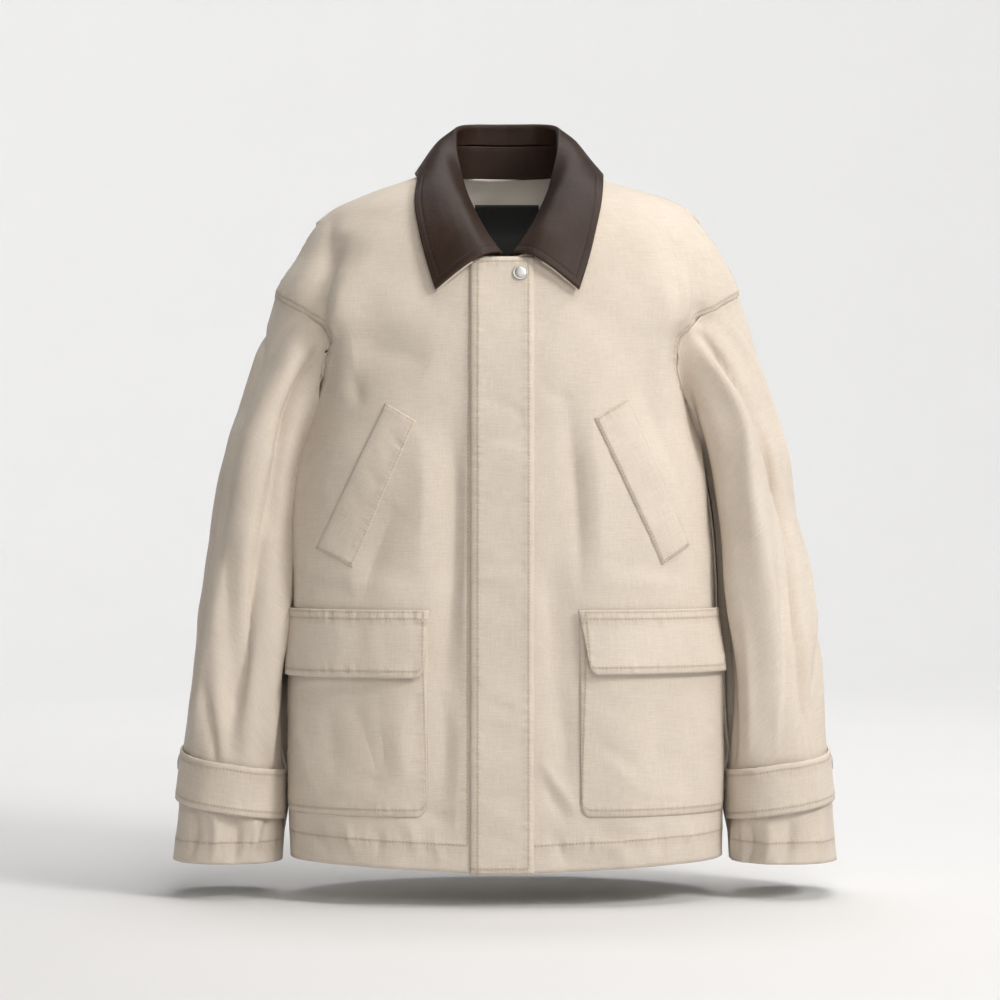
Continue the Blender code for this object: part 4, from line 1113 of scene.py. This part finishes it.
# Patch pockets with rounded lower corners, sewn down 6.5 mm inside their sides and bottom. Each flap is
# two layers, sewn on by two rows along its top, with a row inside its other edges.
POCKET_INNER_X = {RIGHT: 0.0765, LEFT: 0.0700}
POCKET_OUTER_ANGLE = 84.0
POCKET_LOW_Z = -0.633
POCKET_CORNER = 0.013
FLAP_TOP_Z = -0.435
FLAP_LOW_Z = {RIGHT: -0.5000, LEFT: -0.4965}
FLAP_SKEW = {RIGHT: 0.0050, LEFT: 0.0095}
FLAP_OUTER_ANGLES = 83.0, 79.0
FLAP_STAND_OFF = 0.0045
POCKET_WIDTH, FLAP_WIDTH = 0.165, 0.15
POCKET_CREASES = {
    RIGHT: numbers("""
    -201 -524 -197 -573 -179 -620 12 3.3
    -149 -512 -135 -550 -105 -596 10.8 -2.4
    -122 -512 -118 -560 -128 -617 12 -2.4
    -95 -521 -99 -569 -93 -607 9.6 2
    -171 -523 -167 -571 -161 -609 10.8 -1.8
    -156 -604 -136 -596 -112 -607 9.6 -1.8
    -83 -511 -85 -521 -89 -536 4.8 -1.2
    -95 -588 -89 -583 -83 -586 4.8 -1.2
    -201 -515 -161 -509 -103 -512 6 -1.2
    """),
    LEFT: numbers("""
    81 -554 103 -574 132 -596 10.8 -2.1
    89 -574 110 -594 127 -617 9.6 1.7
    137 -512 142 -551 137 -598 14.4 -1.8
    176 -523 182 -562 176 -610 12 2.1
    151 -522 166 -513 192 -524 10.8 -1.4
    85 -521 94 -527 106 -521 6 -1.2
    127 -617 147 -612 176 -617 7.2 1.4
    100 -512 127 -506 176 -511 6 -1.2
    """),
}
FLAP_CREASES = {
    RIGHT: numbers("""
    -179 -444 -179 -465 -185 -496 5 -2
    -140 -441 -138 -466 -143 -497 6 -1.8
    -116 -443 -114 -468 -106 -494 6 -2.1
    -128 -445 -128 -464 -124 -493 6 1.4
    -161 -445 -159 -469 -163 -495 7 1.7
    -95 -445 -91 -464 -87 -490 6 1.7
    -105 -470 -99 -475 -91 -473 4 -1.3
    -199 -446 -199 -466 -203 -493 7 1.3
    -151 -484 -145 -489 -135 -491 4 -0.8
    """),
    LEFT: numbers("""
    115 -441 121 -464 117 -491 8 -1.1
    147 -439 152 -464 158 -492 8 1.3
    180 -438 186 -462 199 -489 6 -1.3
    89 -445 94 -464 92 -487 7 1
    168 -442 172 -465 176 -488 6 1
    127 -456 139 -464 154 -461 8 -0.8
    """),
}
FLAP_CORNER = 0.010
FLAP_SHAPE = 0.0008, 0.0007, 0.0


def corner_rise(radius, from_side):
    """How far a rounded corner lifts the lower edge: radius - sqrt(radius^2 - inside^2)."""
    inside = np.clip(radius - from_side, 0, radius)
    return radius - np.sqrt(radius**2 - inside**2)


POCKET_ROWS = [full_rows(0.0065, "left", "right", "low")]
FLAP_ROWS = [full_rows(0.0062, "left", "right", "low") + full_rows(0.0022, "top"), full_rows(0.0092, "top")]
across = np.linspace(0, 1, 73)[None, :]
for side in (RIGHT, LEFT):
    inner_angle = float(angle_at(POCKET_INNER_X[side], -0.53))
    angle = inner_angle + (POCKET_OUTER_ANGLE - inner_angle) * across
    rise = corner_rise(POCKET_CORNER, np.minimum(across, 1 - across) * POCKET_WIDTH)
    top = FLAP_TOP_Z - 0.004
    z = top + (POCKET_LOW_Z + rise - top) * np.linspace(0, 1, 84)[:, None]
    laid_piece(
        f"pocket_{SIDE_NAMES[side]}", side * (angle + 0 * z), z, LAY_GAP + CLOTH_WALL,
        CLOTH_WALL, 61 + side, POCKET_CREASES[side], POCKET_ROWS,
    )

    down = np.linspace(0, 1, 31)[:, None]
    inner_edge = inner_angle - 0.4 + np.degrees(FLAP_SKEW[side] / FLAP_WIDTH) * down
    outer_edge = FLAP_OUTER_ANGLES[0] * (1 - down) + FLAP_OUTER_ANGLES[1] * down
    angle = side * (inner_edge * (1 - across) + outer_edge * across)
    rise = corner_rise(FLAP_CORNER, across * FLAP_WIDTH)
    z = FLAP_TOP_Z + (FLAP_LOW_Z[side] + rise - FLAP_TOP_Z) * down
    stand_off = 2 * LAY_GAP + CLOTH_WALL + FLAP_STAND_OFF * np.clip(down - 0.15, 0, 1) + 0 * across
    laid_piece(
        f"flap_{SIDE_NAMES[side]}", angle, z, stand_off + FOLDED_WALL, FOLDED_WALL,
        65 + side, FLAP_CREASES[side], FLAP_ROWS, FLAP_SHAPE,
    )

# Cuff straps: a strip of two layers round the front of each cuff, standing off it, with a row inside
# every edge, held by a snap at the outer side.
STRAP_INNER_Z = -0.6190
STRAP_OUTER_Z = -0.5985
STRAP_HEIGHT = 0.048
STRAP_INNER_ANGLE = 168.0
STRAP_OUTER_ANGLE = -34.0
STRAP_STAND_OFF = 0.0045
STRAP_CREASES = {
    RIGHT: numbers("""
    -295 -579 -292 -603 -296 -629 6 -1.8
    -269 -590 -267 -613 -271 -639 6 1.8
    -251 -594 -249 -617 -253 -641 5 -1.5
    -230 -596 -230 -619 -226 -641 5 1.7
    -308 -574 -306 -596 -310 -623 5 1.2
    """),
    LEFT: numbers("""
    249 -598 251 -619 249 -641 4 -2.7
    259 -596 263 -615 261 -639 5 2.1
    229 -600 229 -619 233 -641 5 -1.8
    239 -600 239 -619 241 -641 4 1.8
    276 -588 278 -609 276 -631 6 -1.5
    294 -582 296 -603 292 -625 6 1.4
    220 -600 218 -621 222 -641 4 1.4
    """),
}
STRAP_ROWS = [full_rows(0.0058, *EDGES)]
share = np.linspace(0, 1, 110)[None, :]
up = np.linspace(0.5, -0.5, 22)[:, None]
to_snap = np.clip(share / (STRAP_INNER_ANGLE / (STRAP_INNER_ANGLE - STRAP_OUTER_ANGLE)), 0, 1)
middle = STRAP_INNER_Z + (STRAP_OUTER_Z - STRAP_INNER_Z) * np.sin(np.pi / 2 * to_snap) ** 2
stand_off = LAY_GAP + STRAP_STAND_OFF * np.sin(np.pi * to_snap) ** 2 + 0 * up
angle = STRAP_INNER_ANGLE + (STRAP_OUTER_ANGLE - STRAP_INNER_ANGLE) * share + 0 * up
z = middle + STRAP_HEIGHT * up
for side in (RIGHT, LEFT):
    base = sleeve_base(side)
    flat = moved_out(base, angle, z, -side * (stand_off + FOLDED_WALL))
    away = row_distance(flat, STRAP_ROWS[0])
    relief = crease_relief(flat, STRAP_CREASES[side], sleeve_spot(side, 1)) + slack(flat, 71 + side, 0.0004)
    relief += ripple(from_edge(flat, "left"), 75 + side) * 0.0006 * bell(away, 0.006)
    outer = moved_out(base, angle, z, -side * (stand_off + FOLDED_WALL + relief))
    sewn_piece(
        f"cuff_strap_{SIDE_NAMES[side]}", outer, FOLDED_WALL, sleeve_core(side, outer), STRAP_ROWS,
    )

# Snaps: pressed caps of nickel-plated steel, 15 mm across, one at the neck and one on each strap. They
# are lathed, with a rolled rim round a shallow dome.
SNAP_RADIUS = 0.0075
SNAP_HEIGHT = 0.0028
SNAP_LIFT = 0.0004
NECK_SNAP_X, NECK_SNAP_Z = 0.0125, -0.1126
SNAP_Z = -0.591


def nickel(start):
    """Brushed and tumbled plate, with fine turning marks and small scuffs."""
    scuff, cloud = start.place().noise(900.0, 4.0, 0.7), start.place().noise(220.0, 2.0)
    return cloud.mix((0.46, 0.45, 0.43, 1), (0.60, 0.59, 0.56, 1)), 0.46 + scuff * 0.16, scuff * 0.00004


NICKEL = finish("nickel_plate", (0.62, 0.61, 0.59), nickel, {"Metallic": 1.0})


def ring_faces(rings, around):
    """Quads between rings of points, with each point's number and that of the next one round."""
    index = np.arange(rings * around).reshape(rings, around)
    after = np.roll(index, -1, axis=1)
    return index, after, np.stack([index[:-1], after[:-1], after[1:], index[1:]], -1).reshape(-1, 4)


def snap(name, centre, normal):
    """The profile (radius, height), as shares of the cap's own, turned about the normal."""
    normal = unit(np.asarray(normal, float))
    beside = unit(np.cross(normal, [0.0, 0.0, 1.0]))
    upward = np.cross(beside, normal)
    profile = numbers("""
        1 0  1 0.30  0.985 0.50  0.94 0.66  0.88 0.70  0.83 0.64  0.80 0.56  0.76 0.58
        0.66 0.74  0.50 0.88  0.32 0.96  0.15 0.99
    """, 2)
    turn = np.linspace(0, 2 * np.pi, 40, endpoint=False)
    around = np.cos(turn)[:, None] * beside + np.sin(turn)[:, None] * upward
    rings = centre + profile[:, :1, None] * SNAP_RADIUS * around + profile[:, 1:, None] * SNAP_HEIGHT * normal
    points = np.concatenate([rings.reshape(-1, 3), [centre + SNAP_HEIGHT * normal, centre]])
    index, after, faces = ring_faces(*rings.shape[:2])
    top, foot = len(points) - 2, len(points) - 1
    caps = [[a, b, top] for a, b in zip(index[-1], after[-1])]
    caps += [[b, a, foot] for a, b in zip(index[0], after[0])]
    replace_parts(mesh_piece(f"{name}_cap", points, faces.tolist() + caps, NICKEL, "snap"), name)


LEVEL = LAY_GAP + FOLDED_WALL + SNAP_LIFT
neck_angle = angle_at(NECK_SNAP_X, NECK_SNAP_Z)
near, far = (torso(neck_angle, NECK_SNAP_Z, out) for out in (LEVEL, 2 * LEVEL))
snap("snap_neck", near, far - near)
for side in (RIGHT, LEFT):
    base, spot = sleeve_base(side), (np.array([[0.0]]), np.array([[SNAP_Z]]))
    near, far = (moved_out(base, *spot, np.array([[-side * out]]))[0, 0] for out in (LEVEL, 2 * LEVEL))
    snap(f"snap_cuff_{SIDE_NAMES[side]}", near, far - near)

# Collar: smooth brown leather. The stand rises from the neck seam, and the leaf is sewn to it inside,
# folds over it and lies out over the shoulders, with cotton under it. A row runs 7.5 mm inside its edge.
LEATHER_WALL = 0.0022
STAND_SHARE = 0.65
STAND_START_FLAT = 0.0038
FOLD_WIDTH = 0.0064
FOLD_RISE = 0.0026
LEAF_CLEAR = 0.0062
CLEAR_BELOW_Z = 0.010
UNDER_COLLAR_WALL = 0.0010
UNDER_COLLAR_SHOWS = 0.0016
UNDER_COLLAR_FROM_ROW = 48
EDGE_BULGE, EDGE_BULGE_SHARE, EDGE_BULGE_SPREAD = 0.0065, -0.52, 0.13
STAND_TUCK, STAND_INSET = 0.002, 0.0012
SMOOTHED = 19
# The collar from the centre back round to the centre front: the fold on top, the leaf's edge, which
# is then moved clear of the panels, and how far the leaf springs out between them
COLLAR = columns("neck_angle fold_x fold_y fold_z edge_x edge_y edge_z spring", """
    180 0 0.071 0.052 0 0.104 0.006 0.006
    155 0.028 0.068 0.0515 0.042 0.099 0.005 0.006
    132 0.048 0.052 0.049 0.076 0.077 -0.001 0.006
    112 0.056 0.029 0.042 0.092 0.04 -0.004 0.006
    92 0.0545 0.003 0.024 0.095 0 -0.006 0.0065
    72 0.0485 -0.022 -0.001 0.094 -0.045 -0.019 0.008
    55 0.0415 -0.045 -0.024 0.091 -0.072 -0.042 0.0105
    38 0.0325 -0.069 -0.046 0.085 -0.095 -0.07 0.0122
    22 0.0205 -0.0965 -0.0705 0.078 -0.11 -0.099 0.0115
    8.8 0.008 -0.111 -0.0905 0.069 -0.12 -0.1285 0.0105
""")


def collar_curves(share):
    """Neck seam, fold, leaf edge and spring at shares -1 to 1, from the wearer's right front to
    the left."""
    side = np.sign(share + 1e-12)
    at = along(COLLAR, np.abs(share))
    neck = torso(side * at["neck_angle"], smooth(NECK["angle"], NECK["z"], at["neck_angle"]))
    fold = np.stack([side * at["fold_x"], at["fold_y"], at["fold_z"]], -1)
    edge = np.stack([side * at["edge_x"], at["edge_y"], at["edge_z"]], -1)
    low_enough = np.clip((CLEAR_BELOW_Z - edge[:, 2:]) / CLEAR_BELOW_Z, 0, 1)
    edge += (clear_of_body(edge, LEAF_CLEAR, 0.001) - edge) * low_enough
    return neck, fold, edge, at["spring"][:, None]


def through(knots, count):
    """Rows of points on the smooth curve (Catmull-Rom) through the knots' rows."""
    padded = np.concatenate([2 * knots[:1] - knots[1:2], knots, 2 * knots[-1:] - knots[-2:-1]])
    at = np.linspace(0, len(knots) - 1, count)
    cell = np.minimum(at.astype(int), len(knots) - 2)
    t = (at - cell)[:, None, None]
    a, b, c, d = (padded[cell + k] for k in range(4))
    return 0.5 * (2 * b + (c - a) * t + (2 * a - 5 * b + 4 * c - d) * t**2 + (3 * b - a - 3 * c + d) * t**3)


def brown_leather(start):
    """Fine pebbled grain with soft wrinkles, darker in the grain and rubbed along the edges."""
    place, row, edge = start.place(), start.known("row_0"), start.known("edge")
    inputs = {"Vector": place, "Scale": 620.0, "Smoothness": 0.6}
    pebble = place.node("ShaderNodeTexVoronoi", {"feature": "SMOOTH_F1"}, inputs)
    wrinkle = place.noise(140.0, 4.0, 0.6)
    cloud = place.noise(22.0, 3.0, 0.55)
    pore = place.noise(1500.0, 2.0, 0.6)
    dent = row.bell(0.0013)
    worn = edge.bell(0.0016) * (0.3 + 0.7 * wrinkle)
    tone = (0.5 + (cloud - 0.5) * 1.2 + (pebble - 0.5) * 0.5 + (wrinkle - 0.5) * 0.4).clip()
    colour = tone.mix((0.018, 0.0088, 0.0058, 1), (0.041, 0.0205, 0.0125, 1))
    colour = (worn * 0.5).clip().mix(colour, (0.075, 0.042, 0.030, 1))
    rough = 0.42 + wrinkle * 0.12 + pebble * 0.10
    height = pebble * -0.00010 + wrinkle * 0.00022 + pore * 0.00002 + cloud * 0.0006 - dent * 0.00025
    return colour, rough, height


LEATHER = finish("brown_leather", (0.045, 0.028, 0.022), brown_leather, {"Specular IOR Level": 0.26})


def dark_thread(start):
    """Brown thread, its plies lighter and darker by a fine noise."""
    ply = start.place().noise(2600.0, 2.0)
    return ply.mix((0.016, 0.009, 0.007, 1), (0.040, 0.022, 0.016, 1)), 0.5 + ply * 0.2, ply * 0.00006


DARK_THREAD = finish("dark_thread", (0.04, 0.025, 0.02), dark_thread, {"Specular IOR Level": 0.4})

share = np.linspace(-1, 1, 241)
neck, fold, edge, spring = collar_curves(share)
# The leaf's edge is averaged over some stations inside its ends, and bulges a little at the right front.
padded = np.concatenate([edge[:1].repeat(SMOOTHED // 2, 0), edge, edge[-1:].repeat(SMOOTHED // 2, 0)])
weights = np.hanning(SMOOTHED) / np.hanning(SMOOTHED).sum()
softer = np.stack([np.convolve(column, weights, "valid") for column in padded.T], -1)
inside = np.clip((0.86 - np.abs(share)) / 0.1, 0, 1)[:, None]
edge += (softer - edge) * inside
edge[:, 0] += EDGE_BULGE * bell(share - EDGE_BULGE_SHARE, EDGE_BULGE_SPREAD)
upward = unit(fold - neck)
outward = unit(np.cross(upward, np.gradient(fold, axis=0)))
fold_in = fold - outward * FOLD_WIDTH
rise = fold_in - neck
lies_flat = 1 - np.clip(upward[:, 2:], 0, 1)
start = neck + unit(rise) * (STAND_START_FLAT * lies_flat - STAND_TUCK) - outward * STAND_INSET
join = start + (fold_in - start) * STAND_SHARE
middle = fold - outward * FOLD_WIDTH / 2 - upward * 0.01

LEATHER_LOOK = LEATHER, DARK_THREAD, "leather"
STAND_ROWS = [full_rows(0.0022, "low")]
stand = start + (join - start) * np.linspace(0, 0.96, 22)[:, None, None]
sewn_piece(
    "collar_stand", stand, LEATHER_WALL, stand + outward * 0.05, STAND_ROWS,
    look=LEATHER_LOOK,
)

LEAF_ROWS = [[("left", 0.0075, 0.35, 1), ("right", 0.0075, 0.35, 1), ("low", 0.0075, 0, 1)]]
leaf_edge = np.linspace(0.2, 1, 5)[:, None, None]
fall = fold + (edge - fold) * leaf_edge + outward * spring * np.sin(np.pi * leaf_edge**0.7)
top = fold - outward * FOLD_WIDTH / 2 + upward * FOLD_RISE
knots = np.concatenate([np.stack([join, join + (fold_in - join) * 0.6, fold_in, top, fold]), fall])
leaf = through(knots, 73)
leaf += grid_normals(leaf, middle) * slack(leaf, 81, 0.0003)[..., None]
sewn_piece(
    "collar_leaf", leaf, LEATHER_WALL, middle, LEAF_ROWS,
    look=LEATHER_LOOK,
)

under = (leaf - grid_normals(leaf, middle) * (LEATHER_WALL + LAY_GAP))[UNDER_COLLAR_FROM_ROW:]
for end, beside in ((0, 1), (-1, -2)):
    under[:, end] += 0.4 * UNDER_COLLAR_SHOWS * unit(under[:, end] - under[:, beside])
under_cloth = cloth_piece("collar_under", under, UNDER_COLLAR_WALL, under - outward, [])

# Neck label: a patch of black woven satin, 66 by 52 mm, sewn inside the back 24 mm below the neck seam
# and left bare.
LABEL_WIDTH, LABEL_TOP_Z, LABEL_LOW_Z = 0.066, -0.024, -0.076
LABEL_GAP = 0.0026
LABEL_WALL = 0.0010


def black_satin(start):
    """Satin weave: fine ribs across and long floats, with a painted sheen: the colour is paler along the floats
    that catch the light.
    """
    cut, across, down = start.cut()
    rib = (down * (2 * np.pi / 0.0006)).sine()
    floats = cut.stretched(260, 2600, 1).noise(1.0, 2.0)
    # Painted sheen: the colour is paler along some floats.
    colour = floats.mix((0.008, 0.009, 0.011, 1), (0.022, 0.024, 0.027, 1))
    return colour, 0.42 + floats * 0.2, rib * 0.00002 + floats * 0.00004


SATIN = finish("black_satin", (0.012, 0.014, 0.016), black_satin, {"Sheen Weight": 0.1})
across = np.linspace(-0.5, 0.5, 31)[None, :]
z = np.linspace(LABEL_TOP_Z, LABEL_LOW_Z, 25)[:, None] + 0 * across
angle = 180.0 + np.degrees(LABEL_WIDTH * across / torso_size("back", z))
face = torso(angle, z, -CLOTH_WALL - LABEL_GAP - LABEL_WALL)
label = cloth_piece("neck_label", face, LABEL_WALL, face + [0.0, 0.1, 0.0], [], SATIN, "label")

# Stage: a pale matt floor just under the hem, flat for 3 m, which then sweeps up all round into a
# bowl 6 m away.
def backdrop(start):
    """Matt paper, very slightly mottled."""
    grain = start.place().noise(3.0, 3.0)
    return grain.mix((0.745, 0.745, 0.745, 1), (0.765, 0.765, 0.765, 1)), 0.9 + grain * 0.05, grain * 0.0002


PAPER = finish("pale_paper", (0.87, 0.87, 0.87), backdrop, {"Specular IOR Level": 0.1})
FLOOR_Z, FLAT, SWEEP, TALL = -0.720, 3.2, 3.0, 3.6
bend = np.linspace(0, np.pi / 2, 25)[1:]
radius = np.concatenate([np.linspace(0.02, FLAT, 12), FLAT + SWEEP * np.sin(bend), [FLAT + SWEEP]])
height = np.concatenate([np.zeros(12), SWEEP * (1 - np.cos(bend)), [TALL]]) + FLOOR_Z
turn = np.linspace(0, 2 * np.pi, 96, endpoint=False)
radius, height = radius[:, None], height[:, None]
rings = np.stack([radius * np.cos(turn), radius * np.sin(turn), height + 0 * turn], -1)
index, after, faces = ring_faces(*rings.shape[:2])
mesh_piece("floor", rings, faces[:, ::-1].tolist() + [index[0].tolist()], PAPER)

# Light: softboxes up to the right of the front, in front and overhead, four more for the backdrop and
# the floor, and a little light from all round.
def softbox(name, place, size, power, colour=(1.0, 1.0, 1.0), aim=(0.0, -0.05, -0.33)):
    """A round light of that diameter, turned from its place towards the aim."""
    lamp = bpy.data.lights.new(name, "AREA")
    lamp.shape, lamp.size, lamp.energy, lamp.color = "DISK", size, power, colour
    obj = bpy.data.objects.new(name, lamp)
    obj.location = place
    obj.rotation_euler = (Vector(aim) - Vector(place)).to_track_quat("-Z", "Y").to_euler()
    bpy.context.scene.collection.objects.link(obj)


softbox("key_light", (2.6, -2.1, 1.7), 1.2, 84.0, (1.0, 0.985, 0.97))
softbox("front_light", (0.3, -3.7, 1.5), 1.8, 45.0, (1.0, 0.95, 0.90))
softbox("top_light", (0.9, -0.6, 2.9), 2.2, 56.0, (1.0, 0.98, 0.96), (0.0, 0.0, -0.4))
softbox("backdrop_light", (0.0, 1.5, 3.8), 3.0, 118.0, aim=(0.0, 6.0, 0.5))
softbox("backdrop_light_left", (-3.2, 2.2, 2.6), 2.5, 46.0, aim=(-1.5, 6.0, 0.6))
softbox("backdrop_light_right", (3.2, 2.2, 2.6), 2.5, 24.0, aim=(1.5, 6.0, 0.6))
softbox("floor_light", (0.0, 2.2, 3.4), 3.0, 22.0, aim=(0.0, 2.6, -0.7))
world = bpy.data.worlds.new("soft_light")
world.use_nodes = True
background = world.node_tree.nodes["Background"]
background.inputs["Color"].default_value = (1.0, 1.0, 1.0, 1.0)
background.inputs["Strength"].default_value = 0.02
bpy.context.scene.world = world
bpy.context.scene.view_settings.view_transform = "Standard"

# Camera: level, 3 m in front of the chest, a long lens.
lens = bpy.data.cameras.new("camera")
lens.lens, lens.sensor_width = 108.0, 36.0
camera = bpy.data.objects.new("camera", lens)
camera.location, camera.rotation_euler = (-0.007, -3.0, -0.33), (np.pi / 2, 0.0, 0.0)
bpy.context.scene.collection.objects.link(camera)
bpy.context.scene.camera = camera
